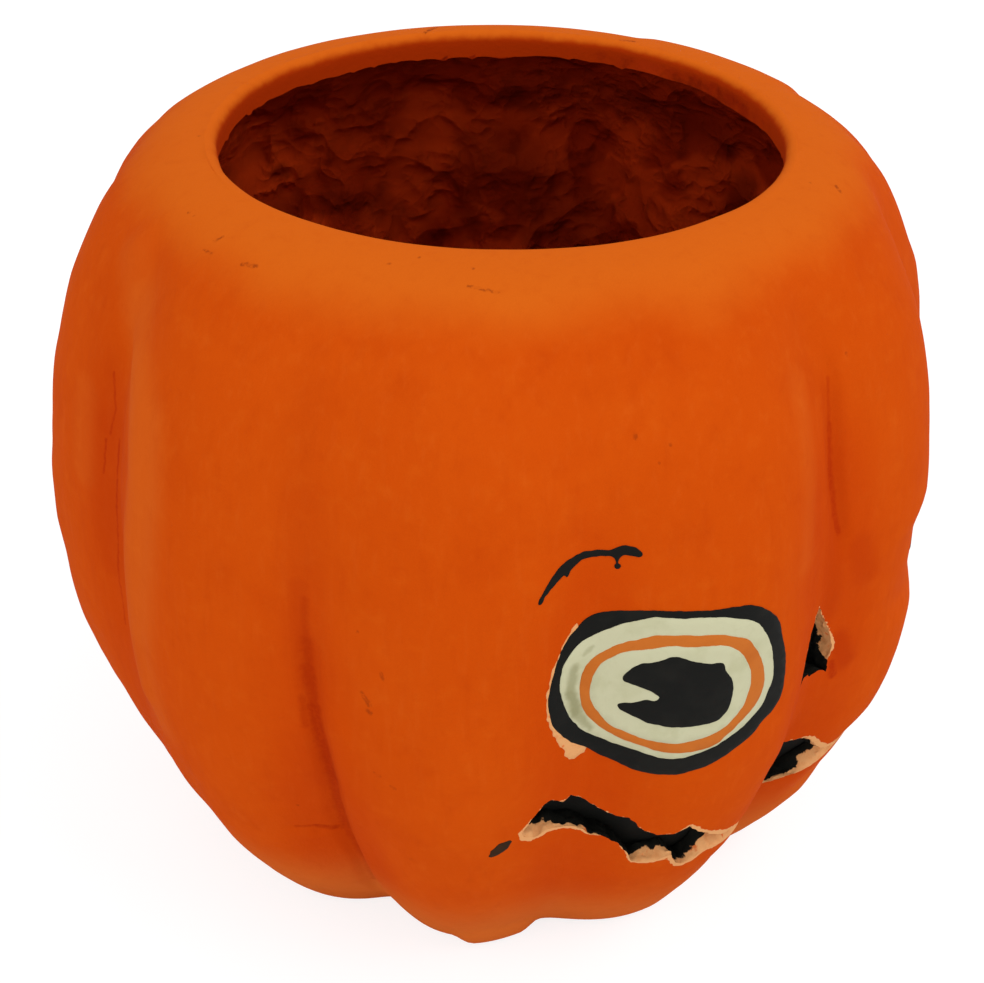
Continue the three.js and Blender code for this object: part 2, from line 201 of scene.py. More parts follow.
def outsideNormals(turn, station, turnProbe=0.5, stationProbe=0.002):
    low = np.maximum(np.asarray(station) - stationProbe, 0)
    high = np.minimum(np.asarray(station) + stationProbe, 2)
    across = outsidePoints(turn + turnProbe, station) - outsidePoints(turn - turnProbe, station)
    up = outsidePoints(turn, high) - outsidePoints(turn, low)
    normal = np.cross(across, up)
    return normal / np.linalg.norm(normal, axis=-1, keepdims=True)


# Slight unevenness of a hand-pressed wall, gone at the base and nearly so at the lip
def lumpsAt(points):
    b, height = bowl, points[..., 2]
    calm = 1 - b["calmShare"] * ramp(height, *b["lumpsCalm"])
    lumps = mixedNoise(points, b["lumps"]) - b["lumpsIn"]
    return lumps * ramp(height, 0, b["lumpsFull"]) * calm


def wallPoints(turn, station, depth=0.0):
    turn, station = np.broadcast_arrays(np.asarray(turn, float), np.asarray(station, float))
    flat = outsidePoints(turn, station)
    away = lumpsAt(flat) - depth
    return flat + outsideNormals(turn, station) * away[..., None]


def wallAt(height):
    more = bowl["lipThickness"] - bowl["wall"]
    return bowl["wall"] + more * ease((height - bowl["height"] + bowl["lipReach"]) / bowl["lipReach"])


# Points drawn on the unrolled wall, x to the viewer's right, taken onto the bowl
def ontoWall(drawn, turn, height, depth=0.0):
    drawn = np.asarray(drawn, float)
    return wallPoints(turn + drawn[:, 0] / mmPerTurn, stationAt(height + drawn[:, 1]), depth)


def addObject(name, data):
    thing = bpy.data.objects.new(name, data)
    bpy.context.scene.collection.objects.link(thing)
    return thing


def makePiece(name, points, faces, materials):
    mesh = bpy.data.meshes.new(name)
    mesh.from_pydata((np.asarray(points) * mm).tolist(), [], faces)
    for material in materials:
        mesh.materials.append(material)
    mesh.shade_smooth()
    return addObject(name, mesh)


# Faces between closed rings of points, given by the number of each ring's first point
def bandFaces(starts, count):
    k = np.arange(count)
    after = (k + 1) % count
    bands = [np.column_stack([low + k, low + after, high + after, high + k])
             for low, high in zip(starts[:-1], starts[1:])]
    return np.vstack(bands).tolist()


def linear(code):
    channels = [int(code[k:k + 2], 16) / 255 for k in (1, 3, 5)]
    return (*[c / 12.92 if c <= 0.04045 else ((c + 0.055) / 1.055) ** 2.4 for c in channels], 1.0)


# Adds a node with its settings and links, and returns one of its outputs
def addNode(tree, kind, inputs=(), output=0, **settings):
    node = tree.nodes.new(f"ShaderNode{kind}")
    for name, value in settings.items():
        setattr(node, name, value)
    for socket, value in dict(inputs).items():
        if isinstance(value, bpy.types.NodeSocket):
            tree.links.new(value, node.inputs[socket])
        else:
            node.inputs[socket].default_value = value
    return node.outputs[output] if node.outputs else None


def emptyTree(owner):
    owner.use_nodes = True
    owner.node_tree.nodes.clear()
    return owner.node_tree


# An empty material, with the place on the object in millimetres for its patterns
def startMaterial(name):
    material = bpy.data.materials.new(name)
    tree = emptyTree(material)
    coordinates = addNode(tree, "TexCoord", output="Object")
    place = addNode(tree, "VectorMath", {0: coordinates, "Scale": 1 / mm}, operation="SCALE")
    return material, tree, place


def endMaterial(tree, colour, bump, shine):
    skin = addNode(tree, "BsdfPrincipled", {"Base Color": colour, "Normal": bump, **shine})
    addNode(tree, "OutputMaterial", {"Surface": skin})


# Another colour laid on by a value: as it is, or where it runs from start to end
def addTone(tree, colour, tone, value, start=None, end=None, most=1.0):
    if start is not None:
        value = addNode(
            tree, "MapRange", {"Value": value, "From Min": start, "From Max": end, "To Max": most},
            interpolation_type="SMOOTHSTEP")
    return addNode(tree, "Mix", {0: value, 6: colour, 7: tone}, 2, data_type="RGBA")


# Cloudy patches of other colours, each over the last
def addClouds(tree, place, colour, clouds):
    for size, start, end, most, tone, detail in clouds:
        patches = addNode(tree, "TexNoise", {
            "Vector": place, "Scale": 1 / size, "Detail": detail, "Roughness": 0.55})
        colour = addTone(tree, colour, linear(tone), patches, start, end, most)
    return colour


# Relief too fine for the mesh: each grain's size across and how far it stands up
def addGrain(tree, place, grains):
    normal = None
    for size, reach in grains:
        pattern = addNode(
            tree, "TexNoise", {"Vector": place, "Scale": 1 / size, "Detail": 2, "Roughness": 0.6})
        sockets = {"Height": pattern, "Distance": reach * mm, "Strength": 1.0}
        if normal:
            sockets["Normal"] = normal
        normal = addNode(tree, "Bump", sockets)
    return normal


# A mask that is 1 along strokes on the surface, each a path of (turn, height, half width,
# strength) and a last (turn, height), or one point for a speck
def addStrokes(tree, place, strokes, depth=0.0):
    total = 0.0
    for stroke in strokes:
        for start, end in zip(stroke[:-1] or stroke, stroke[1:] or stroke):
            a, b = (wallPoints(turn, stationAt(height), depth)
                    for turn, height in (start[:2], end[:2]))
            run = b - a + 1e-3
            offset = addNode(tree, "VectorMath", {0: place, 1: a.tolist()}, operation="SUBTRACT")
            along = addNode(
                tree, "VectorMath", {0: offset, 1: (run / (run @ run)).tolist()}, "Value",
                operation="DOT_PRODUCT")
            held = addNode(tree, "Clamp", {"Value": along})
            nearest = addNode(
                tree, "VectorMath", {0: run.tolist(), "Scale": held}, operation="SCALE")
            gap = addNode(
                tree, "VectorMath", {0: offset, 1: nearest}, "Value", operation="DISTANCE")
            halfWidth, strength = start[2:]
            mark = addNode(tree, "MapRange", {
                "Value": gap, "From Min": halfWidth, "From Max": 0.2 * halfWidth,
                "To Max": strength}, interpolation_type="SMOOTHSTEP")
            total = addNode(tree, "Math", {0: mark, 1: total}, operation="MAXIMUM")
    return total


# Place shaken a little, so that a mark's edge comes out ragged
def addShake(tree, place, size, reach):
    pattern = addNode(tree, "TexNoise", {"Vector": place, "Scale": 1 / size, "Detail": 2}, "Color")
    middle = addNode(tree, "VectorMath", {0: pattern, 1: (0.5, 0.5, 0.5)}, operation="SUBTRACT")
    push = addNode(tree, "VectorMath", {0: middle, "Scale": 2 * reach}, operation="SCALE")
    return addNode(tree, "VectorMath", {0: place, 1: push})


# A value with noise on it, so that what it bounds ends in a ragged line
def addRagged(tree, place, value, size, detail, reach):
    pattern = addNode(tree, "TexNoise", {"Vector": place, "Scale": 1 / size, "Detail": detail})
    return addNode(tree, "Math", {0: pattern, 1: reach, 2: value}, operation="MULTIPLY_ADD")


# Patches are (size, noise from, to, share, colour, detail), zones (from, to, share), shakes
# (size, reach) and edges (size, detail, reach)
pulp = dict(
    # Painted light in this line: a painted highlight on the rim's top, painted shade in the valleys,
    # painted light from the white floor low down, and a painted highlight on raised edges
    orange="#C84A06", rimHighlight="#D26214", valley="#BC3703", low="#D06A28", ridgeHighlight="#D56D24",
    # Painted highlights and painted shade on the crumpled inside's folds in this line
    raw="#E0A26A", inside="#9C2604", foldHighlight="#D84410", foldShade="#5A1002",
    # Painted shade on the band under the lip and along the grooves and their creases in this line; the
    # dark marks are dirt
    bandShade="#AE3203", black="#161613", dirt="#7A2A0A", grooveShade="#A82803", gully="#A02602",
    patches=((46, 0.42, 0.7, 0.4, "#D05209", 3), (15, 0.5, 0.75, 0.35, "#BE4004", 3),
             (5, 0.5, 0.8, 0.25, "#D25B10", 3)),
    # Bristle marks are about 0.3 mm apart, drawn 2 mm apart to show
    brushed=(1, 1, 0.16),
    bristles=((2.2, 0.5, 0.8, 0.16, "#D6601A", 4), (3.4, 0.52, 0.8, 0.2, "#B43A04", 4)),
    insidePatches=((22, 0.45, 0.7, 0.3, "#D84410", 5), (7, 0.52, 0.64, 0.35, "#5A1002", 5)),
    tornPatches=((2.4, 0.45, 0.7, 0.7, "#D89058", 4), (3.5, 0.6, 0.68, 0.7, "#D4560F", 4)),
    # Zones of painted light: the rim's top, the valleys, and low down where the floor lights the bowl;
    # the fold zones are for the inside's folds
    topZone=(182, 192, 0.85), valleyZone=(0.1, 0.62, 0.42), floorLightZone=(44, 8, 0.9),
    foldZones=((0.74, 0.88, 0.5, "foldHighlight"), (0.48, 0.34, 0.5, "foldShade")),
    zoneShake=(30, 5), strokeShake=(1.6, 0.5), foldShake=(9, 5), foldDepth=7,
    wornSize=1.1, worn=(0.38, 0.58),
    # Ragged edge and levels of the band's painted shade and of the stained inside
    shadeAndStainEdge=(3.4, 5, 0.55), bandShaded=(0.25, 1.05), insideStained=(1.4, 1.7),
    bareEdge=(1.3, 3, 1.4), isBare=(0.62, 0.8), blackEdge=(2.6, 4, 4), isBlack=(5.7, 6),
    creaseSize=18, creaseReach=2, isInner=(1.2, 1.8),
    grains=((0.9, 0.07), (2.6, 0.12)),  # pulp fibre is 0.1 to 0.3 mm, drawn coarser to show
    tornGrains=((0.7, 0.15), (1.8, 0.2)),
    shine={"Roughness": 0.85, "Specular IOR Level": 0.02, "IOR": 1.5},
    tornShine={"Roughness": 0.92, "Specular IOR Level": 0.03},
)

# Scuffs and specks on the paint, where the photo shows them
darkMarks = (
    ((-209, 192.9, 1, 0.8), (-212.8, 192.1)), ((106.8, 192.8, 1.1, 0.6), (103.8, 192.8)),
    ((-131, 192.8, 0.7, 0.6),), ((-103.5, 190.4, 0.7, 0.6),), ((-102, 190.5, 0.6, 0.5),),
    ((-93.5, 189.7, 0.7, 0.6), (-93.2, 190.3)), ((-94, 188.3, 0.6, 0.5), (-92.2, 188.3)),
    ((-86, 188.8, 0.8, 0.6), (-83.5, 189.1)), ((-64.2, 192.3, 0.8, 0.5),), ((-60, 192.8, 0.6, 0.5),),
    ((-50.8, 192.5, 0.7, 0.6),), ((-51, 191.2, 0.7, 0.6), (-46.8, 190.7)),
    ((24.8, 190.8, 0.8, 0.6), (23.8, 190.3)), ((22, 192.3, 0.6, 0.5),), ((4, 167.5, 0.8, 0.5),),
    ((-30.5, 167.6, 0.6, 0.45), (-30.5, 166.3)), ((-28, 161.5, 0.5, 0.4),), ((-26.5, 165, 0.5, 0.4),),
    ((-61.2, 107.5, 1, 0.5), (-60.4, 105)), ((-60.6, 103.3, 0.9, 0.5), (-60.3, 102.9)),
    ((-58.8, 114.8, 0.7, 0.4), (-58.6, 113)), ((-61.6, 123.7, 0.6, 0.4),),
    ((-60, 85.4, 0.7, 0.35), (-59.4, 85.2)), ((-58, 82.9, 0.7, 0.35), (-57.6, 82.6)),
    ((-72.4, 61.1, 0.7, 0.6),), ((-56.4, 56.9, 0.8, 0.6),),
)
# Painted shade along the grooves: wide and faint, then fine and dark
grooveShadeStrokes = (
    ((-110.5, 168.5, 9, 0.14), (-108, 158, 9, 0.18), (-106.2, 142, 8, 0.18), (-105.5, 104)),
    ((-68.4, 172, 8, 0.1), (-68, 140)), ((-68.3, 152, 9, 0.15), (-68, 112)),
    ((-68, 136, 8, 0.2), (-67.6, 74)), ((-68.6, 131, 5, 0.34), (-68.4, 104)),
    ((0.5, 158, 6, 0.2), (0.6, 130, 5.5, 0.24), (0.5, 104)), ((4.2, 119.6, 6.5, 0.25), (6, 112)),
    ((3, 93.9, 5, 0.4), (4.8, 86.2)),
)
creaseShadeLines = (
    ((-105.6, 154, 0.7, 0.6), (-104.4, 146, 0.6, 0.5), (-105.2, 139)),
    ((-105.8, 137, 0.6, 0.6), (-106, 128)), ((-103.2, 139, 0.7, 0.7), (-103.8, 119.6, 0.6, 0.55),
     (-104.6, 101.6, 0.6, 0.4), (-104.2, 86)), ((1, 163.4, 0.8, 0.4), (0.2, 153.5, 1.2, 0.6),
     (-0.2, 142.9, 1.3, 0.65), (0.6, 130.7, 1.2, 0.6), (1.4, 125.5)),
    ((2.6, 87, 1.8, 0.7), (3.4, 82.5)),
)
# Painted shade in the darkest crease, low in the groove at the left
gullyStreaks = (
    ((-68.1, 128, 1.6, 0.3), (-68.3, 117, 2, 0.45), (-68.4, 108.6, 2.6, 0.6), (-68, 97.5, 3, 0.75),
     (-67.2, 85, 2.9, 0.75), (-66.8, 74.4, 2.4, 0.65), (-67.6, 59.2, 2.2, 0.6), (-68, 49, 1.7, 0.5),
     (-67.2, 33.9, 1.4, 0.3), (-68, 18)), ((-73.8, 50.8, 0.9, 0.4), (-71.4, 51.2, 1.3, 0.6),
     (-69, 49.4)), ((-69.2, 100, 1.6, 0.35), (-68.9, 92)),
)
# Painted highlights along raised edges
ridgeHighlights = (
    ((-107, 180, 10, 0.15), (-103.2, 172, 11, 0.25), (-98.5, 163, 12, 0.32), (-92.5, 155, 12, 0.32),
     (-91, 140, 12, 0.3), (-92, 123, 12, 0.28), (-93.5, 100, 11, 0.2), (-92.5, 74)),
    ((-110, 146, 7, 0.14), (-110, 126)), ((-7, 168, 6, 0.12), (-7.5, 128)),
)
# Painted highlights and painted shade on folds of the crumpled inside, on the wall behind the same (turn,
# height)
foldHighlightStrokes = (
    ((147, 166, 12, 0.7), (142, 147)), ((182, 164, 16, 0.75), (172, 146)),
    ((165, 164, 10, 0.3), (158, 150)), ((152, 142, 12, 0.6), (146, 131)),
    ((108, 160, 8, 0.45), (113, 142, 8, 0.35), (118, 124)), ((99, 140, 9, 0.3), (103, 128)),
    ((157, 126, 9, 0.45), (151, 117)),
)
foldShadeStrokes = (
    ((133, 142, 20, 0.45), (122, 122)), ((130, 172, 16, 0.35), (94, 164)),
    ((163, 136, 10, 0.45), (156, 130)), ((138, 150, 8, 0.45), (137, 120)),
    ((172, 148, 4, 0.6), (170, 146)), ((90, 150, 7, 0.6), (92, 138)),
)


# Moulded paper pulp under matte poster paint: a fine fibrous tooth, brushed unevenly, with
# painted shade, redder, in the valleys and creases, painted highlights on the rim's top and
# raised edges, painted light from the floor low down, and bare peach pulp where it tore
def makePulp():
    p = pulp
    material, tree, place = startMaterial("poster_painted_moulded_pulp")
    dip, crease, inside, bare = (
        addNode(tree, "Attribute", output="Fac", attribute_name=name)
        for name in ("dip", "crease", "inside", "bare"))
    colour = addClouds(tree, place, linear(p["orange"]), p["patches"])
    brushed = addNode(tree, "VectorMath", {0: place, 1: p["brushed"]}, operation="MULTIPLY")
    colour = addClouds(tree, brushed, colour, p["bristles"])
    height = addNode(tree, "SeparateXYZ", {0: addShake(tree, place, *p["zoneShake"])}, "Z")
    # Painted highlight on the rim's top, painted shade in the valleys, and painted light from the floor
    # low down
    for value, (start, end, most), tone in (
            (height, p["topZone"], "rimHighlight"), (dip, p["valleyZone"], "valley"),
            (height, p["floorLightZone"], "low")):
        colour = addTone(tree, colour, linear(p[tone]), value, start, end, most)
    shaken = addShake(tree, place, *p["strokeShake"])
    worn = addNode(tree, "TexNoise", {"Vector": place, "Scale": 1 / p["wornSize"], "Detail": 3})
    # Painted highlights on raised edges, painted shade along the grooves and creases, then dirt marks
    for strokes, tone, least in (
            (ridgeHighlights, "ridgeHighlight", 1.0), (grooveShadeStrokes, "grooveShade", 1.0),
            (creaseShadeLines, "grooveShade", 0.7), (gullyStreaks, "gully", 0.75), (darkMarks, "dirt", 0.15)):
        patchy = addNode(tree, "MapRange", {
            "Value": worn, "From Min": p["worn"][0], "From Max": p["worn"][1], "To Min": least},
            interpolation_type="SMOOTHSTEP")
        broken = addNode(
            tree, "Math", {0: addStrokes(tree, shaken, strokes), 1: patchy}, operation="MULTIPLY")
        colour = addTone(tree, colour, linear(p[tone]), broken)

    # Painted shade darkens the band under the lip; the paint stops at a ragged line inside the lip, and
    # the pulp below is stained dark
    inner = addClouds(tree, place, linear(p["inside"]), p["insidePatches"])
    # Painted highlights on the folds' crests and painted shade in their hollows
    for start, end, most, tone in p["foldZones"]:
        inner = addTone(tree, inner, linear(p[tone]), crease, start, end, most)
    foldPlace = addShake(tree, place, *p["foldShake"])
    for strokes, tone in ((foldHighlightStrokes, "foldHighlight"), (foldShadeStrokes, "foldShade")):
        folds = addStrokes(tree, foldPlace, strokes, p["foldDepth"])
        inner = addTone(tree, inner, linear(p[tone]), folds)
    shadeAndStain = addRagged(tree, place, inside, *p["shadeAndStainEdge"])
    colour = addTone(tree, colour, linear(p["bandShade"]), shadeAndStain, *p["bandShaded"])
    colour = addTone(tree, colour, inner, shadeAndStain, *p["insideStained"])

    # Paint torn away in a ragged line round the holes
    tornAway = addRagged(tree, place, bare, *p["bareEdge"])
    colour = addTone(tree, colour, linear(p["raw"]), tornAway, *p["isBare"])

    # Sharp little creases between the crumpled inside's folds
    start, end = p["isInner"]
    isInner = addNode(tree, "MapRange", {"Value": inside, "From Min": start, "From Max": end})
    creases = addNode(tree, "TexNoise", {
        "Vector": place, "Scale": 1 / p["creaseSize"], "Detail": 3, "Roughness": 0.5,
        "Offset": 1.0, "Gain": 1.5}, noise_type="RIDGED_MULTIFRACTAL")
    bump = addNode(tree, "Bump", {
        "Height": creases, "Distance": p["creaseReach"] * mm, "Strength": isInner,
        "Normal": addGrain(tree, place, p["grains"])})
    endMaterial(tree, colour, bump, p["shine"])
    return material


# The same pulp torn through: pale fibrous layers, with black glue and paint run up from behind
def makeTornPulp():
    material, tree, place = startMaterial("torn_bare_pulp")
    colour = addClouds(tree, place, linear(pulp["raw"]), pulp["tornPatches"])
    depth = addNode(tree, "Attribute", output="Fac", attribute_name="tearDepth")
    blackness = addRagged(tree, place, depth, *pulp["blackEdge"])
    colour = addTone(tree, colour, linear(pulp["black"]), blackness, *pulp["isBlack"])
    endMaterial(tree, colour, addGrain(tree, place, pulp["tornGrains"]), pulp["tornShine"])
    return material


cards = dict(
    black=dict(name="matte_black_poster_card", colour="#141412", cloud="#1F1E1A", shine=0.66),
    cream=dict(name="aged_cream_card", colour="#C4C2A0", cloud="#B2B08A", shine=0.7,
               crease="#86835C"),
    orange=dict(name="orange_poster_card", colour="#C26A26", cloud="#B45C1E", shine=0.7),
    brown=dict(name="thin_brown_black_paint", colour="#2E2013", cloud="#4A2A14", shine=0.8),
)
cardLook = dict(
    patches=((9, 0.45, 0.75, 0.55, 3), (2.2, 0.55, 0.8, 0.35, 4)),
    grains=((0.8, 0.03), (6, 0.1)), gloss=0.08, wrinkleShake=(2.5, 0.8))
# Painted shade, olive-grey, in the cream card's wrinkles and where it dips into a groove
wrinkleShade = (
    ((-37.4, 114, 2, 0.6), (-37.8, 108, 2.2, 0.75), (-36.8, 101.5, 1.8, 0.6), (-35.2, 97.2)),
    ((-36.3, 117, 0.8, 0.35), (-35.2, 119.5)), ((-31.5, 88.2, 0.7, 0.3), (-28.5, 87.8)),
    ((-22, 89, 0.7, 0.3), (-17, 90.5)), ((46.3, 108, 2, 0.6), (45.3, 101.5, 1.6, 0.5), (43.9, 97.5)),
)


# Poster-painted card cut by hand: flat colour with a soft bloom, painted shade in the cream card's
# wrinkles, and the paper's fine tooth
def makeCard(kind):
    card = cards[kind]
    material, tree, place = startMaterial(card["name"])
    colour = addClouds(
        tree, place, linear(card["colour"]),
        [(*patch[:4], card["cloud"], patch[4]) for patch in cardLook["patches"]])
    # Painted shade in the cream card's wrinkles
    if "crease" in card:
        wrinkleShaded = addStrokes(tree, addShake(tree, place, *cardLook["wrinkleShake"]), wrinkleShade)
        colour = addTone(tree, colour, linear(card["crease"]), wrinkleShaded)
    endMaterial(tree, colour, addGrain(tree, place, cardLook["grains"]), {
        "Roughness": card["shine"], "Specular IOR Level": cardLook["gloss"]})
    return material


pulpMaterial = makePulp()
tornMaterial = makeTornPulp()
cardMaterials = {kind: makeCard(kind) for kind in cards}
print("materials made")

# Each eye's side and turn, and whether it is drawn mirrored
sides = (("left", -25.5, False), ("right", 34, True))
eye = dict(
    height=105, grid=1.8, sink=0.6, rag=0.1, step=0.5, bevel=0.12,
    # Width of the right eye's half towards the nose, above and below the heights given
    squeeze=(0.82, 0.67), squeezeHeights=(-4, -10))
# Fields pasted over each other, and how far each one's face stands out of the wall
eyeFields = (
    dict(name="black_surround", card="black", proud=0.25, drawn=[
        (-23.5, 19.6), (-21.1, 21.9), (-18.3, 23.1), (-13.4, 23.6), (-5.8, 23.6), (1.4, 23.1),
        (5.8, 22.7), (11, 22.3), (15.9, 21.4), (19.5, 19.2), (23.1, 16), (25.1, 12.7), (26.3, 8.8),
        (27.9, 3), (28.7, -3.4), (28.4, -9), (25.9, -12.1), (22.6, -13.6), (20.3, -15.6), (17.5, -16.9),
        (13.8, -18.8), (10.6, -20.2), (7.8, -21.4), (4.2, -21.9), (1, -22.5), (-3, -22.1), (-6.6, -21.2),
        (-9.8, -20), (-13, -18.1), (-16.7, -16.3), (-19.5, -14.2), (-22.7, -12.5), (-25.1, -10.2),
        (-27.1, -7.5), (-28.7, -4.7), (-29.5, -1.5), (-29.9, 2.5), (-29.1, 7.3), (-27.9, 11.8),
        (-26.7, 15.2), (-25.5, 17.4)]),
    dict(name="cream_band", card="cream", proud=0.4, drawn=[
        (-15.5, 19.4), (-13, 20.5), (-9.8, 21.4), (-6.2, 22.1), (-2.2, 21.8), (0.6, 21.4), (3.4, 21.4),
        (8.6, 20.5), (13.8, 18.7), (17.5, 16.5), (19.9, 13.2), (22.3, 8.8), (23.5, 4.1), (24.3, -1.5),
        (23.1, -5.3), (21.5, -8.3), (18.7, -10.4), (15.1, -12.5), (11.8, -14.2), (9, -15.4), (5.4, -16.3),
        (1.4, -17.1), (-3, -16.7), (-6.2, -15.4), (-9, -14.2), (-11.4, -13.3), (-13.8, -12.5),
        (-16.7, -11.1), (-19.1, -10), (-21.5, -8.3), (-22.7, -6.7), (-24.3, -4.5), (-25.9, -0.3),
        (-27.1, 4.7), (-26.9, 8.8), (-26.1, 11.3), (-24.5, 13.7), (-22.7, 15.6), (-20.3, 16.9),
        (-18.3, 18.1)]),
    dict(name="orange_ring", card="orange", proud=0.52, drawn=[
        (-10.2, 16.5), (-8.6, 17), (-6.6, 17.6), (-3, 17.5), (0.2, 17.4), (3, 17), (5.8, 16.8), (9, 16),
        (12.2, 14.6), (15.1, 13.1), (16.9, 10.8), (18.7, 7.8), (20.3, 4.1), (21.1, 0.2), (21.1, -2.7),
        (20.3, -5.3), (18.7, -7.5), (16.3, -9.4), (14.3, -11), (11.8, -12.9), (10.2, -14.3), (7.8, -15.1),
        (4.6, -15.5), (1, -15.4), (-1.8, -15), (-4.6, -14.1), (-8.2, -12.6), (-11.4, -11.3), (-13.8, -10),
        (-17.1, -7.7), (-19.5, -5.3), (-21.1, -2.7), (-21.9, 0.3), (-22.3, 3.6), (-21.9, 6.8),
        (-20.7, 9.6), (-19.1, 11.7), (-16.7, 13.4), (-14.7, 14.9), (-12.6, 15.9)]),
    dict(name="cream_iris", card="cream", proud=0.64, drawn=[
        (-8.6, 14.1), (-5.4, 14.6), (-2.2, 14.9), (1.4, 14.3), (5, 14.1), (8.6, 13.5), (11.4, 12.1),
        (13.8, 9.8), (15.5, 6.8), (16.7, 3.6), (16.9, 0.2), (16.3, -2.7), (15.5, -5.3), (13.8, -7.5),
        (12.2, -9.2), (9.8, -10.7), (6.6, -11.5), (3, -12.1), (1, -12.4), (-2.2, -12.1), (-5, -11.4),
        (-7, -10.8), (-9.4, -9.8), (-11.8, -8.5), (-14.3, -7.3), (-15.9, -5.8), (-17.5, -3.5),
        (-19.1, -1.1), (-19.9, 2), (-19.7, 4.7), (-19.1, 6.8), (-17.9, 9.3), (-16.3, 11.1), (-13.8, 12.7),
        (-11.8, 13.5)]),
    dict(name="pupil", card="black", proud=0.76, drawn=[
        (-1.4, 12.2), (0.2, 11.7), (2.6, 10.4), (5.8, 9.3), (9, 8.8), (9.9, 6.6), (11.4, 4.1),
        (12.2, 1.9), (12.3, -0.9), (11.8, -3.7), (11.3, -5.2), (10.2, -6.4), (9.2, -7.3), (7, -7.7),
        (3.8, -7.8), (1, -7.7), (-1.8, -7.4), (-4.2, -6.8), (-7, -5.9), (-9, -4.7), (-11.4, -3.3),
        (-13, -2.1), (-13.4, -0.9), (-12.2, -0.3), (-10.6, -0.2), (-9, 0.2), (-7.4, 0.6), (-5.4, 0.3),
        (-4.6, 1.3), (-5.8, 2.5), (-7.4, 3.5), (-9, 4.2), (-11.4, 5.1), (-12.5, 5.8), (-12.6, 6.8),
        (-11.8, 8.3), (-10.2, 9.8), (-8.8, 10.6), (-6.6, 10.9), (-4.6, 11.4), (-3, 12.1)]),
)
nose = dict(turn=-1, height=95, drawn=[
    (-1, 12.6), (0.6, 9.9), (3.2, 6.2), (4.6, 2.5), (6.6, -1.7), (6, -3.8), (5.9, -6.4), (6.6, -10.6),
    (4, -8.9), (2, -8.9), (0.2, -9.2), (-1, -7.8), (-3.4, -7), (-7, -7.6), (-7, -3.4), (-3.4, 7)])
mouth = dict(
    turn=0, height=50,
    upper=[
        (0, 10.5), (-7.4, 9.6), (-12, 5), (-17, 0.6), (-24, -0.6), (-31, 2), (-37.3, 6.3), (-40.5, 8.6),
        (-43, 12), (-44.2, 11.3), (-46.6, 9.8), (-51, 9.8), (-55, 12.5), (-58.6, 17.1), (-63.4, 18.4),
        (-66.6, 20.4), (-70.2, 23.7), (-73.9, 26), (-75.5, 24.1), (-79.1, 26), (-80.5, 25.8),
        (-82.3, 23.3), (-83.9, 20.8)],
    lower=[
        (-85.6, 17.2), (-85.2, 15.3), (-82.7, 13.8), (-80.3, 14.9), (-78.1, 15.2), (-75.5, 14.5),
        (-73.1, 14.1), (-70.2, 12.6), (-67.4, 10.2), (-65, 9.9), (-60.2, 6.9), (-57.4, 2.4), (-55.6, -1),
        (-52.6, -2.2), (-48.6, -1.5), (-46.2, 0.3), (-45.2, -0.2), (-43.9, -3.3), (-41.3, -5.9),
        (-38.1, -4.1), (-34.9, -1.2), (-32, -2.2), (-24, -5.2), (-16, -7), (-7, -8.4), (0, -9)],
    # How much the torn lower edge climbs on its way through the wall: x, climb
    ledge=[
        (-86, 0.6), (-84, 1.8), (-81, 2), (-78.5, 1.4), (-76.5, 0.2), (-74, 0.3), (-71, 0.7),
        (-68.6, 0.2), (-60, 0), (-56, 0.2), (-53, 2.1), (-51.4, 2.5), (-47.4, 2.1), (-45, 0.2),
        (-43.5, 0.3), (-40.1, 1.2), (-38.8, 2.4), (-36.9, 5), (-34, 6), (-30, 3), (-24, 4.5), (-17, 4.5),
        (-14.5, 3.6), (-12, 0.2), (0, 0)],
    # How far out the black paint behind laps over the torn wall: x, millimetres
    lapped=[
        (-86, 0.6), (-80, 0.8), (-77.5, 2.4), (-70, 2.6), (-67, 3.4), (-57, 3.4), (-55, 1), (-53, 0),
        (-47, 0), (-45, 1.8), (-40, 1.8), (-36, 1.2), (-33, 0), (-15.5, 0), (-13, 2.4), (0, 2.6)],
    ledgeDepth=3.6, ledgeClearance=1.0)
tears = dict(step=0.6, rag=0.28, roughness=0.36, grain=2.2, layer=0.9, roughFrom=0.8,
             reach=127, inmost=66, depths=(-0.8, 0, 0.4, 0.9, 1.5, 2.2, 3, 3.9, 4.8, 5.8, 7, 9))
backing = dict(
    overlap=5, snips=8, gap=0.3, thickness=0.8, grid=3, step=1.5, rag=0.15)


def mirrored(drawn):
    return [(-x, y) for x, y in drawn]


mouth["drawn"] = [
    *mouth["upper"], *mouth["lower"],
    *mirrored(mouth["lower"][:-1])[::-1], *mirrored(mouth["upper"][1:])[::-1]]


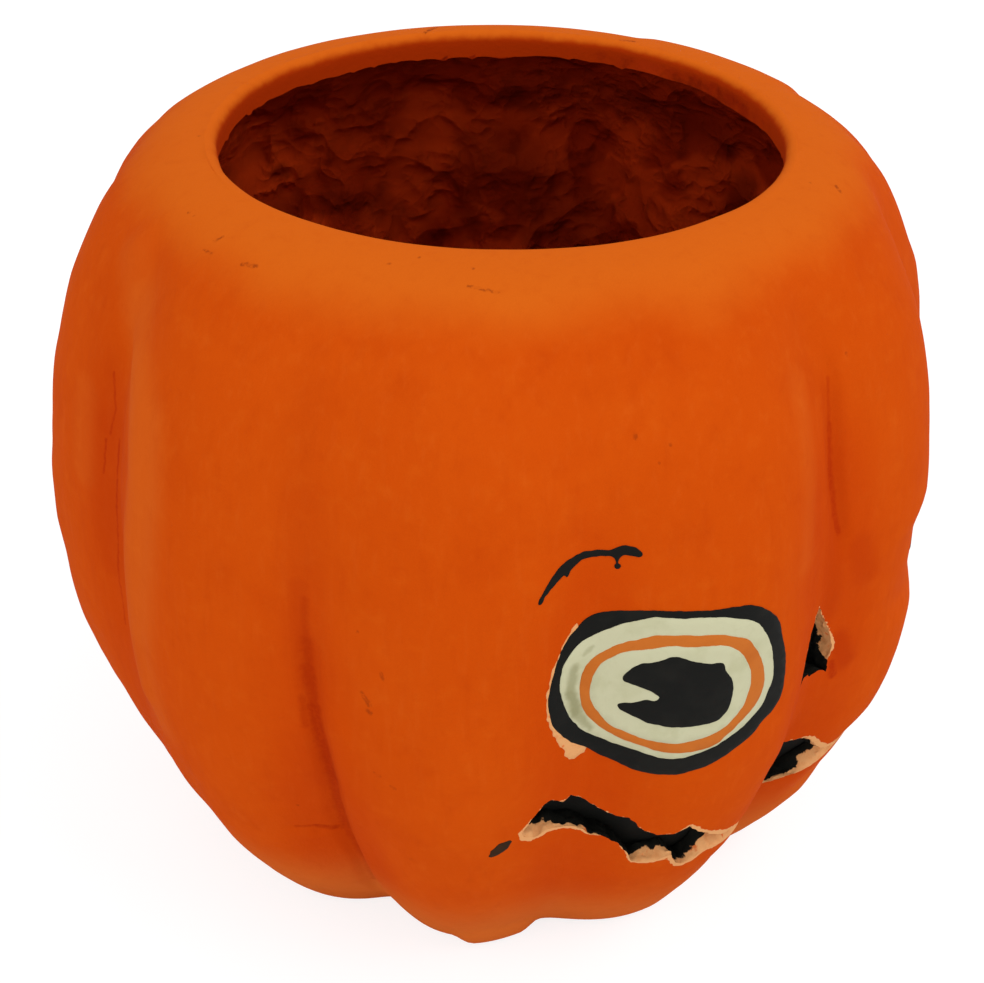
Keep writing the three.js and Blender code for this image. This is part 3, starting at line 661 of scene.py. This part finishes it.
# A closed outline in even steps, straight between its points or curved through them
def refine(drawn, step, curved=False):
    knots = np.asarray(drawn, float)
    if curved:
        before, after, beyond = (np.roll(knots, k, axis=0) for k in (1, -1, -2))
        t = np.linspace(0, 1, 24, endpoint=False)[None, :, None]
        p0, p1, p2, p3 = (p[:, None, :] for p in (before, knots, after, beyond))
        knots = (0.5 * (2 * p1 + (p2 - p0) * t + (2 * p0 - 5 * p1 + 4 * p2 - p3) * t ** 2
                        + (3 * p1 - p0 - 3 * p2 + p3) * t ** 3)).reshape(-1, 2)
    closed = np.vstack([knots, knots[:1]])
    run = np.concatenate([[0], np.cumsum(np.hypot(*np.diff(closed, axis=0).T))])
    count = max(8, int(round(run[-1] / step)))
    marks = np.linspace(0, run[-1], count, endpoint=False)
    loop = np.stack([np.interp(marks, run, closed[:, k]) for k in (0, 1)], axis=1)
    following = np.roll(loop, -1, axis=0)
    area = (loop[:, 0] * following[:, 1] - following[:, 0] * loop[:, 1]).sum()
    return loop if area > 0 else loop[::-1]


# The way out of a counter-clockwise loop at each of its points
def outward(loop):
    along = np.roll(loop, -1, axis=0) - np.roll(loop, 1, axis=0)
    side = np.stack([along[:, 1], -along[:, 0]], axis=1)
    return side / np.maximum(np.hypot(*side.T), 1e-9)[:, None]


# The loop cut by an unsteady hand: wide bends and small ones
def rag(loop, reach, seed):
    places = np.column_stack([loop, np.full(len(loop), 3.7 * seed)])
    push = reach * mixedNoise(places, ((1.2, 4.5, seed), (1.5, 1.4, seed + 1)))
    return loop + outward(loop) * push[:, None]


def isInside(points, loop):
    x, y = points[:, 0, None], points[:, 1, None]
    x1, y1 = loop.T
    x2, y2 = np.roll(loop, -1, axis=0).T
    rise = np.where(y2 == y1, 1e-12, y2 - y1)
    crosses = ((y1 > y) != (y2 > y)) & (x < x1 + (y - y1) / rise * (x2 - x1))
    return crosses.sum(axis=1) % 2 == 1


def treeOf(points):
    tree = kdtree.KDTree(len(points))
    for k, point in enumerate(points):
        tree.insert((*point, 0.0)[:3], k)
    tree.balance()
    return tree


def gapsTo(tree, points):
    return np.array([tree.find((*point, 0.0)[:3])[2] for point in points.tolist()])


# Loop and grid points inside it, with the triangles between them
def fillLoop(loop, grid):
    low, high = loop.min(0), loop.max(0)
    rows = np.arange(low[1] + grid / 2, high[1], grid * 0.866)
    points = [(x, y) for k, y in enumerate(rows)
              for x in np.arange(low[0] + grid * (0.5 + 0.5 * (k % 2)), high[0], grid)]
    points = np.array(points).reshape(-1, 2)
    points = points[isInside(points, loop)]
    points = points[gapsTo(treeOf(loop.tolist()), points) > 0.45 * grid]
    every = np.vstack([loop, points])
    edges = [(k, (k + 1) % len(loop)) for k in range(len(loop))]
    made = delaunay_2d_cdt([Vector(p) for p in every.tolist()], edges, [], 1, 1e-6)
    found = [origins[0] for origins in made[3]]
    return every, [[found[k] for k in face] for face in made[2]]


# A piece of card on the wall: its face stands proud, its edge is softly rounded over,
# and its back is sunk in the wall
def makeCardPiece(name, loop, turn, height, proud, sink, grid, material, bevel=0.15, wave=0.05):
    every, faces = fillLoop(loop, grid)
    rim = len(loop)
    inset = every.copy()
    inset[:rim] -= outward(loop) * bevel
    places = np.column_stack([every, np.full(len(every), proud * 31)])
    ripple = wave * 2 * lumpNoise(places, 6.5)
    shoulder = min(bevel, 0.6 * abs(proud) + 0.05)
    face = ontoWall(inset, turn, height, -proud - ripple)
    edge = ontoWall(loop, turn, height, -proud + shoulder - ripple[:rim])
    back = ontoWall(every, turn, height, sink)
    points = np.vstack([face, edge, back])
    starts = [len(every) + rim, len(every), 0]
    backFaces = [[starts[0] + k for k in reversed(f)] for f in faces]
    piece = makePiece(name, points, faces + bandFaces(starts, rim) + backFaces, [material])
    piece.data.set_sharp_from_angle(angle=math.radians(50))
    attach(piece, "root")
    return piece


# The outline of a card that covers a hole all round, cut with straight snips
def cardOver(drawn):
    xs = [x for x, y in drawn]
    left, right = min(xs) - backing["overlap"], max(xs) + backing["overlap"]
    step = (right - left) / backing["snips"]
    stops = []
    for k in range(backing["snips"] + 1):
        x = left + k * step
        near = [q for p, q in drawn if abs(p - x) <= step + backing["overlap"]]
        stops.append((x, min(near) - backing["overlap"], max(near) + backing["overlap"]))
    return [(x, low) for x, low, high in stops] + [(x, high) for x, low, high in stops[::-1]]


for hole in (nose, mouth):
    hole["loop"] = rag(refine(hole["drawn"], tears["step"]), tears["rag"], 5)
    hole["cardLoop"] = refine(cardOver(hole["drawn"]), backing["step"])
    filled = fillLoop(hole["cardLoop"], backing["grid"])[0]
    hole["cardTree"] = treeOf(np.column_stack([
        hole["turn"] * mmPerTurn + filled[:, 0], hole["height"] + filled[:, 1]]).tolist())

shell = dict(
    columns=408, outerRows=120, innerRows=76, soleRings=3, floorRings=9, lipRows=6,
    bandEdge=186.5, bandRag=((1.12, 19, 9), (0.4, 5, 12)), bandTeeth=2.2,
    teeth=((1, 2.8, 10), (0.5, 23, 11)), teethFrom=0.18,
    lipWaver=0.25, waverSize=16, leastWaver=0.06,
    # Shares of the way to the lip and down the band, and the band's torn end: in, down
    lipShares=(0.33, 0.67, 0.999), bandShares=(0.35, 0.7, 0.92, 1),
    bandEnd=((0.5, 0.35), (1.6, 0.5)),
    # Folds of the inside: (size, seed, share), and where they fade, under the lip and beside
    # the black card
    crumple=3.6, folds=((34, 3, 0.58), (16, 4, 0.34), (8, 6, 0.16)), foldSlope=1.9, foldsIn=0.1,
    lipFade=(190, 180), cardFade=(2, 10), floorLumps=16, floorBlend=0.15,
    # Columns stand closer at the sharp creases: (turn, how far to each side)
    closer=1.6, creases=((-67.6, 6), (0.5, 6), (-94.5, 7), (-104, 5)),
    # How much further in the lip reaches over the front: turn, millimetres
    lipIn=np.array([(-180, 0), (-115, 0), (-100, 0.9), (-88, 2.1), (-76, 3), (-60, 3.6), (-46, 3.9),
                    (-32, 3.6), (-18, 2.6), (-2, 2.2), (8, 1.2), (20, 0.3), (32, 0), (180, 0)]),
)


# Creases pressed into the inside by hand: 0 to 1, and none under the black card
def crumpleAt(points, turn, height):
    s = shell
    folds = sum(share * (1 - np.minimum(np.abs(lumpNoise(points, size, seed)) * s["foldSlope"], 1))
                for size, seed, share in s["folds"])
    amount = np.clip(folds - s["foldsIn"], 0, 1) * ramp(height, *s["lipFade"])
    drawn = np.column_stack([((turn + 180) % 360 - 180).ravel() * mmPerTurn, height.ravel()])
    for hole in (nose, mouth):
        gap = gapsTo(hole["cardTree"], drawn).reshape(amount.shape)
        amount = amount * ramp(gap, *s["cardFade"])
    return amount


def evenStations(start, end, count):
    fine = np.linspace(start, end, 4000)
    radius, height = profileAt(fine)
    run = np.concatenate([[0], np.cumsum(np.hypot(np.diff(radius), np.diff(height)))])
    return np.interp(np.linspace(0, run[-1], count), run, fine)


def lipStationAt(radius):
    fine = np.linspace(1, 2, 20000)
    return np.interp(-radius, -profileAt(fine)[0], fine)


def makeShell():
    b = bowl
    fine = np.linspace(-180, 180, 7201)
    density = 1 + shell["closer"] * sum(
        ease(1.5 - np.abs(fine - at) / reach) for at, reach in shell["creases"])
    run = np.concatenate([[0], np.cumsum(density[1:])])
    turns = np.interp(np.arange(shell["columns"]) / shell["columns"] * run[-1], run, fine)

    lipStation = lipStationAt(b["mouthRadius"] + b["lipRound"])
    outerStations = evenStations(0, lipStation, shell["outerRows"])
    outer = wallPoints(turns[None, :], outerStations[:, None])
    base = outer[0]
    sole = [np.column_stack([base[:, :2] * share, base[:, 2]])
            for share in np.linspace(0, 1, shell["soleRings"] + 1)[1:-1]]

    # The lip rolls over and ends in a ragged band of paint-stiffened paper
    top = float(profileAt(lipStation)[1])
    lipIn = np.interp(turns, *shell["lipIn"].T)
    circle = placed(turns, b["mouthRadius"], 0)
    waver = shell["lipWaver"] * (2 * lumpNoise(circle, shell["waverSize"], 8) - 1)
    waver = np.minimum(waver, -shell["leastWaver"]) - lipIn
    teeth = np.maximum(mixedNoise(circle, shell["teeth"]) - shell["teethFrom"], 0)
    edge = (shell["bandEdge"] + mixedNoise(circle, shell["bandRag"])
            - shell["bandTeeth"] * teeth)
    sections = [(b["mouthRadius"] + b["lipRound"] + waver * share, top)
                for share in shell["lipShares"]]
    for step in range(1, shell["lipRows"] + 1):
        bend = step / shell["lipRows"] * math.pi / 2
        sections.append((b["mouthRadius"] + b["lipRound"] * (1 - math.sin(bend)) + waver,
                         top - b["lipRound"] * (1 - math.cos(bend))))
    bandTop, bandRadius = top - b["lipRound"], b["mouthRadius"] + waver
    sections += [(bandRadius, bandTop + (edge - bandTop) * share) for share in shell["bandShares"]]
    sections += [(bandRadius + under, edge - down) for under, down in shell["bandEnd"]]
    lip = [placed(turns, radius, height) for radius, height in sections]

    innerStations = evenStations(0, lipStation, shell["innerRows"])[::-1][2:]
    flat = outsidePoints(turns[None, :], innerStations[:, None])
    depth = wallAt(flat[..., 2])
    turnGrid = np.broadcast_to(turns, depth.shape)
    crumple = crumpleAt(flat, turnGrid, flat[..., 2])
    inner = wallPoints(turns[None, :], innerStations[:, None], depth + shell["crumple"] * crumple)
    floor = []
    last = inner[-1]
    centreRise = shell["crumple"] * 0.5
    for share in np.linspace(1, 0, shell["floorRings"] + 1)[1:-1]:
        flatRing = np.column_stack([last[:, :2] * share, np.full(len(turns), float(b["wall"]))])
        rise = centreRise * (1 + 2 * lumpNoise(flatRing, shell["floorLumps"], 12))
        blend = ease((1 - share) / shell["floorBlend"])
        flatRing[:, 2] = last[:, 2] * (1 - blend) + (b["wall"] + rise) * blend
        floor.append(flatRing)

    rings = [*sole, *outer, *lip, *inner, *floor]
    points = np.vstack([[0, 0, 0], *rings, [0, 0, b["wall"] + centreRise]])
    count = len(turns)
    starts = [1 + level * count for level in range(len(rings))]
    pairs = [(k, (k + 1) % count) for k in range(count)]
    faces = [
        *([0, 1 + j, 1 + i] for i, j in pairs), *bandFaces(starts, count),
        *([starts[-1] + i, starts[-1] + j, len(points) - 1] for i, j in pairs)]
    return makePiece("painted_pulp_shell", points, faces, [pulpMaterial, tornMaterial])


# A body that runs in from outside along the loop, roughened where it passes through the wall
def makeCutter(name, hole, seed):
    loop = hole["loop"]
    surface = ontoWall(loop, hole["turn"], hole["height"])
    radius = np.hypot(surface[:, 0], surface[:, 1])
    hole["edge"] = surface
    layers = [
        (tears["reach"], 0), *((radius - depth, depth) for depth in tears["depths"]),
        (tears["inmost"], tears["depths"][-1])]
    away = outward(loop)
    climb = 0 * radius
    if "ledge" in hole:
        side = -np.abs(loop[:, 0])
        upperX, upperY = np.array(hole["upper"])[::-1].T
        lowerX, lowerY = np.array(hole["lower"]).T
        ceiling = np.interp(side, upperX, upperY)
        middle = (ceiling + np.interp(side, lowerX, lowerY)) / 2
        room = np.maximum(ceiling - hole["ledgeClearance"] - loop[:, 1], 0)
        climb = np.minimum(np.interp(side, *np.array(hole["ledge"]).T), room)
        climb = np.where(loop[:, 1] < middle, climb, 0)
    rings = []
    for reach, depth in layers:
        places = np.column_stack([loop / tears["grain"], 0 * radius + depth / tears["layer"]])
        rough = tears["roughness"] * 2 * lumpNoise(places, 1, seed)
        rough = rough * ease(depth / tears["roughFrom"])
        moved = loop + away * rough[:, None]
        moved[:, 1] += climb * np.clip(depth / hole.get("ledgeDepth", 1), 0, 1)
        rings.append(placed(
            hole["turn"] + moved[:, 0] / mmPerTurn, reach, hole["height"] + moved[:, 1]))
    cap = fillLoop(loop, 1000)[1]  # a grid too wide to put a point inside
    starts = [level * len(loop) for level in range(len(rings))]
    faces = [list(face) for face in cap]
    for near, far in zip(starts[:-1], starts[1:]):
        faces += [face[2:] + face[:2] for face in bandFaces([far, near], len(loop))]
    faces += [[starts[-1] + k for k in reversed(face)] for face in cap]
    cutter = makePiece(name, np.vstack(rings), faces, [pulpMaterial, tornMaterial])
    cutter.data.polygons.foreach_set("material_index", [1] * len(cutter.data.polygons))
    return cutter


def cutHoles(piece, cutters):
    for cutter in cutters:
        cut = piece.modifiers.new(cutter.name, "BOOLEAN")
        cut.operation = "DIFFERENCE"
        cut.solver = "MANIFOLD"
        cut.object = cutter
    ready = piece.evaluated_get(bpy.context.evaluated_depsgraph_get())
    mesh = bpy.data.meshes.new_from_object(ready)
    piece.modifiers.clear()
    piece.data = mesh
    for cutter in cutters:
        bpy.data.objects.remove(cutter)


# Where more paint is torn off round the holes: on the unrolled wall, (x, y), reach, extra width
barePatches = (
    ((-84, 63.5), 5, 1.3), ((-72, 63), 6, 0.8), ((-55, 50), 6, 0.7), ((-45, 45), 6, 1.0),
    ((-36, 41), 6, 1.4), ((-30, 50), 5, 1.2), ((5, 92), 6, 0.6), ((38, 45), 8, 1.3),
    ((60, 60), 8, 1.0), ((84, 63.5), 5, 1.3), ((9.5, 57.5), 3, 0.9), ((13.5, 53), 5, 1.3),
    ((18.5, 49), 5, 1.0), ((-41.5, 59.5), 3, 1.1), ((-34, 55), 4, 1.0),
)

# Where the paint changes on the shell, in millimetres and degrees
skin = dict(
    # The inside: how deep in the wall it starts, its heights, and its floor's top and radius
    insideShare=0.7, insideHeights=(3, 185.9), floorTop=9, floorRadius=70,
    # Painted shade on the band under the lip: darker downwards, and more round the turn given
    bandRadius=72, bandFrom=180, shadeAndStain=0.9, shadeHeights=(193, 189.6),
    moreShade=0.45, shadeTurn=85, shadeTurns=(52, 12),
    thinFloor=12, underLip=(150, 170), underLipCrease=0.6,
    # Black paint ran down over the nose's lower edge
    run=5, runTurns=(7, 5), runHeights=((90, 88), (80, 82)),
    besideMouth=(30, 82), leastBare=0.1, dipFull=10, dipFade=(135, 170), dipLess=0.8,
)


# Values for the paint at each point of the mesh
def nameSurface(piece):
    s, mesh = skin, piece.data
    flat = np.zeros(len(mesh.vertices) * 3, np.float32)
    mesh.vertices.foreach_get("co", flat)
    points = flat.reshape(-1, 3).astype(float) / mm
    turn = np.degrees(np.arctan2(points[:, 0], -points[:, 1]))
    radius = np.hypot(points[:, 0], points[:, 1])
    height = np.clip(points[:, 2], 0, bowl["height"])
    dip = dipAt(turn, height)
    surface = profileAt(stationAt(height))[0] - dip + reliefAt(turn, height)
    edges = treeOf(np.vstack([nose["edge"], mouth["edge"]]).tolist())
    cutGap = gapsTo(edges, points)
    unrolled = np.column_stack([turn * mmPerTurn, height])
    width = s["leastBare"] + 0 * cutGap
    for centre, reach, extra in barePatches:
        gap = np.hypot(*(unrolled - np.array(centre)).T)
        width = width + extra * ease(1 - gap / (2 * reach))
    low, high = s["insideHeights"]
    isWithin = (surface - radius > s["insideShare"] * bowl["wall"]) & (height > low) & (height < high)
    isWithin |= (height <= s["floorTop"]) & (height > low) & (radius < s["floorRadius"])
    band = (radius < s["bandRadius"]) & (height > s["bandFrom"])
    # Painted shade on the band under the lip, deepest round the turn given
    bandShading = s["shadeAndStain"] + s["moreShade"] * ramp(np.abs(turn - s["shadeTurn"]), *s["shadeTurns"])
    bandShading = bandShading * ramp(height, *s["shadeHeights"])
    inside = np.where(isWithin, 2.0, np.where(band, bandShading, 0.0))
    thickness = surface - radius - wallAt(height)
    crease = np.where(height < s["thinFloor"], height - bowl["wall"], thickness) / shell["crumple"]
    underLip = ramp(height, *s["underLip"])
    crease = crease * (1 - underLip) + s["underLipCrease"] * underLip
    run = s["run"] * ramp(np.abs(turn - nose["turn"]), *s["runTurns"])
    for start, end in s["runHeights"]:
        run = run * ramp(height, start, end)
    besideMouth = (height > s["besideMouth"][0]) & (height < s["besideMouth"][1])
    lapped = np.interp(-np.abs(turn * mmPerTurn), *np.array(mouth["lapped"]).T) * besideMouth
    fade = 1 - s["dipLess"] * ramp(height, *s["dipFade"])
    values = dict(
        dip=dip / s["dipFull"] * fade, bare=np.clip(width - cutGap - run, -4, 4), inside=inside,
        tearDepth=np.clip(surface - radius, -2, 12) + run + lapped, crease=np.clip(crease, 0, 1))
    for name, value in values.items():
        layer = mesh.attributes.new(name, "FLOAT", "POINT")
        layer.data.foreach_set("value", value.astype(np.float32))


shellPiece = makeShell()
cutHoles(shellPiece, [makeCutter("nose_cutter", nose, 21), makeCutter("mouth_cutter", mouth, 22)])
shellPiece.data.set_sharp_from_angle(angle=math.radians(42))
nameSurface(shellPiece)
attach(shellPiece, "root")
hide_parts("pulp_shell")
print("shell made:", len(shellPiece.data.polygons), "faces")

for name, hole in (("nose_backing", nose), ("mouth_backing", mouth)):
    front = bowl["wall"] + backing["gap"]
    loop = rag(hole["cardLoop"], backing["rag"], 30)
    piece = makeCardPiece(
        f"{name}_card", loop, hole["turn"], hole["height"], -front, front + backing["thickness"],
        backing["grid"], cardMaterials["black"])
    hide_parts(name)
print("backings made")

for side, turn, flip in sides:
    for k, field in enumerate(eyeFields):
        drawn = mirrored(field["drawn"]) if flip else field["drawn"]
        loop = refine(drawn, eye["step"], curved=True)
        if flip:
            high, low = eye["squeeze"]
            squeeze = high + (low - high) * ramp(loop[:, 1], *eye["squeezeHeights"])
            loop[:, 0] *= np.where(loop[:, 0] < 0, squeeze, 1)
        loop = rag(loop, eye["rag"], 40 + k)
        piece = makeCardPiece(
            f"{side}_eye_{field['name']}_card", loop, turn, eye["height"], field["proud"],
            eye["sink"], eye["grid"], cardMaterials[field["card"]], bevel=eye["bevel"])
        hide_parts(f"{side}_eye_{field['name']}")
print("eyes made")

# Brow lines, a short dash and the bare strip beside the eye, from the eye's middle
brow = dict(
    drawn=[
        (-32.7, 28.2), (-32.3, 29.4), (-30.7, 32.2), (-29.1, 34.5), (-27.5, 36.1), (-25.5, 37.3),
        (-23.5, 38.1), (-21.5, 38.4), (-18.7, 38.3), (-15.9, 38.5), (-14.3, 39.1), (-13, 39.4),
        (-11.4, 38.9), (-9.8, 38.1), (-9.4, 37), (-10.2, 36.6), (-11.8, 36.9), (-13.2, 37.1),
        (-14.3, 36.4), (-14.7, 35.5), (-14.7, 34.6), (-15, 34.6), (-15.1, 35.5), (-15.6, 36.4),
        (-16.5, 36.9), (-17.9, 36.9), (-21.1, 36.9), (-22.7, 36.5), (-24.3, 35.5), (-25.5, 34.5),
        (-26.1, 33.2), (-26.9, 33.7), (-28.7, 32.3), (-29.9, 31), (-31.1, 29.6), (-31.9, 28.1)],
    drip=(-14.8, 34.5), dripRadius=0.68, proud=0.2, rag=0.15,
    rightWidth=0.85, rightDown=1.5)  # the right one is shorter and lower
dash = dict(path=[(-2.5, -2.6), (-1.2, -1.2), (0.8, 1), (2.6, 2.5)], widths=[0.7, 3, 3.1, 0.8],
            turn=-45.3, height=62.5, proud=0.12)
bareStrip = dict(proud=0.14, step=0.6, rag=0.35, drawn=[
    (-23.4, 21), (-24.7, 19.5), (-26.1, 17), (-27.5, 13.3), (-28.5, 10.8), (-29.6, 6.6), (-30.2, 3.9),
    (-30.4, 0.8), (-30, -3.2), (-28.5, -7.9), (-26.9, -11), (-25.2, -13.8), (-24.6, -16), (-24, -17.2),
    (-22.6, -17.2), (-21.5, -16.5), (-20.2, -15.9), (-19, -13), (-14, 0), (-18, 14)])


# The outline of a painted line that swells and thins along its path
def strokeOutline(path, widths):
    knots = np.asarray(path, float)
    t = np.linspace(0, len(knots) - 1, 6 * len(knots))
    middle = np.column_stack([np.interp(t, range(len(knots)), knots[:, k]) for k in (0, 1)])
    middle[1:-1] = (middle[:-2] + 2 * middle[1:-1] + middle[2:]) / 4
    half = np.interp(t, range(len(knots)), widths) / 2
    along = np.gradient(middle, axis=0)
    side = np.column_stack([-along[:, 1], along[:, 0]]) / np.hypot(*along.T)[:, None]
    return np.vstack([middle + side * half[:, None], (middle - side * half[:, None])[::-1]])


def addPaintMark(name, drawn, turn, height, proud, material, step=0.4, reach=0.12, seed=60):
    loop = rag(refine(drawn, step), reach, seed)
    return makeCardPiece(name, loop, turn, height, proud, 0.5, 1.2, material, bevel=0.1, wave=0.02)


angles = np.linspace(0, 2 * math.pi, 14, endpoint=False)
drop = brow["drip"] + brow["dripRadius"] * np.column_stack([np.cos(angles), np.sin(angles)])
line = refine(brow["drawn"], 0.4, curved=True)
strip = np.array(bareStrip["drawn"])
black = cardMaterials["black"]
for side, turn, flip in sides:
    turned = [np.array(mirrored(shape)) if flip else shape for shape in (line, drop, strip)]
    if flip:
        turned[:2] = [shape * (brow["rightWidth"], 1) - (0, brow["rightDown"])
                      for shape in turned[:2]]
    addPaintMark(
        f"{side}_brow_paint", turned[0], turn, eye["height"], brow["proud"], black,
        reach=brow["rag"])
    addPaintMark(f"{side}_brow_drip", turned[1], turn, eye["height"], brow["proud"], black)
    addPaintMark(
        f"{side}_eye_bare_edge", turned[2], turn, eye["height"], bareStrip["proud"], tornMaterial,
        step=bareStrip["step"], reach=bareStrip["rag"])
addPaintMark(
    "cheek_dash_paint", strokeOutline(dash["path"], dash["widths"]), dash["turn"], dash["height"],
    dash["proud"], cardMaterials["brown"])
print("painted marks made")

studio = dict(
    azimuth=-46.5, elevation=33.6, roll=0.848, distance=483, aside=-0.95, height=88.5, lens=64.95,
    aim=90, ambient=0.82, floorSide=3000, paper=0.85, dimmed=0.3, lift=0.8,
    lamps=(
        dict(name="key_lamp", place=(450, -1200, 1500), size=1.3, power=10.5),
        dict(name="fill_lamp", place=(-1500, -300, 700), size=1.2, power=4.2),
    ),
)


def makeCamera():
    s = studio
    azimuth, elevation, roll = (math.radians(s[key]) for key in ("azimuth", "elevation", "roll"))
    camera = addObject("camera", bpy.data.cameras.new("camera"))
    camera.matrix_world = (
        Matrix.Translation((0, 0, s["height"] * mm)) @ Matrix.Rotation(azimuth, 4, "Z")
        @ Matrix.Rotation(math.pi / 2 - elevation, 4, "X")
        @ Matrix.Translation((s["aside"] * mm, 0, s["distance"] * mm))
        @ Matrix.Rotation(roll, 4, "Z"))
    camera.data.sensor_fit = "HORIZONTAL"
    camera.data.sensor_width = 36
    camera.data.lens = s["lens"]
    camera.data.clip_start = 0.01
    bpy.context.scene.camera = camera


def makeLamps():
    for lamp in studio["lamps"]:
        light = bpy.data.lights.new(lamp["name"], "AREA")
        light.shape = "DISK"
        light.size = lamp["size"]
        light.energy = lamp["power"]
        shown = addObject(lamp["name"], light)
        place = Vector(lamp["place"]) * mm
        shown.location = place
        aim = Vector((0, 0, studio["aim"] * mm)) - place
        shown.rotation_euler = aim.to_track_quat("-Z", "Y").to_euler()


# White where the camera, a reflection or glass looks past the bowl, and a plain level elsewhere
def makeWorld():
    world = bpy.data.worlds.new("studio")
    bpy.context.scene.world = world
    tree = emptyTree(world)
    rays = addNode(tree, "LightPath").node.outputs
    seen = rays["Is Camera Ray"]
    for ray in ("Is Transmission Ray", "Is Glossy Ray"):
        seen = addNode(tree, "Math", {0: seen, 1: rays[ray]}, operation="MAXIMUM")
    level = addNode(
        tree, "MapRange", {"Value": seen, "To Min": studio["ambient"], "To Max": 1.0})
    sky = addNode(tree, "Background", {"Color": (1, 1, 1, 1), "Strength": level})
    addNode(tree, "OutputWorld", {"Surface": sky})


# A pale table that reads as white paper and still takes the bowl's shadow
def makeFloor():
    material = bpy.data.materials.new("white_paper_floor")
    tree = emptyTree(material)
    paper, dimmer = (
        addNode(tree, "BsdfDiffuse", {"Color": (studio[shade],) * 3 + (1,)})
        for shade in ("paper", "dimmed"))
    lift = addNode(tree, "Emission", {"Color": (1, 1, 1, 1), "Strength": studio["lift"]})
    shown = addNode(tree, "AddShader", {0: dimmer, 1: lift})
    isSeen = addNode(tree, "LightPath", output="Is Camera Ray")
    both = addNode(tree, "MixShader", {0: isSeen, 1: paper, 2: shown})
    addNode(tree, "OutputMaterial", {"Surface": both})
    side = studio["floorSide"]
    corners = [(-side, -side, 0), (side, -side, 0), (side, side, 0), (-side, side, 0)]
    makePiece("floor", corners, [[0, 1, 2, 3]], [material])


makeCamera()
makeLamps()
makeWorld()
makeFloor()
bpy.context.scene.view_settings.view_transform = "Standard"
print("studio made")
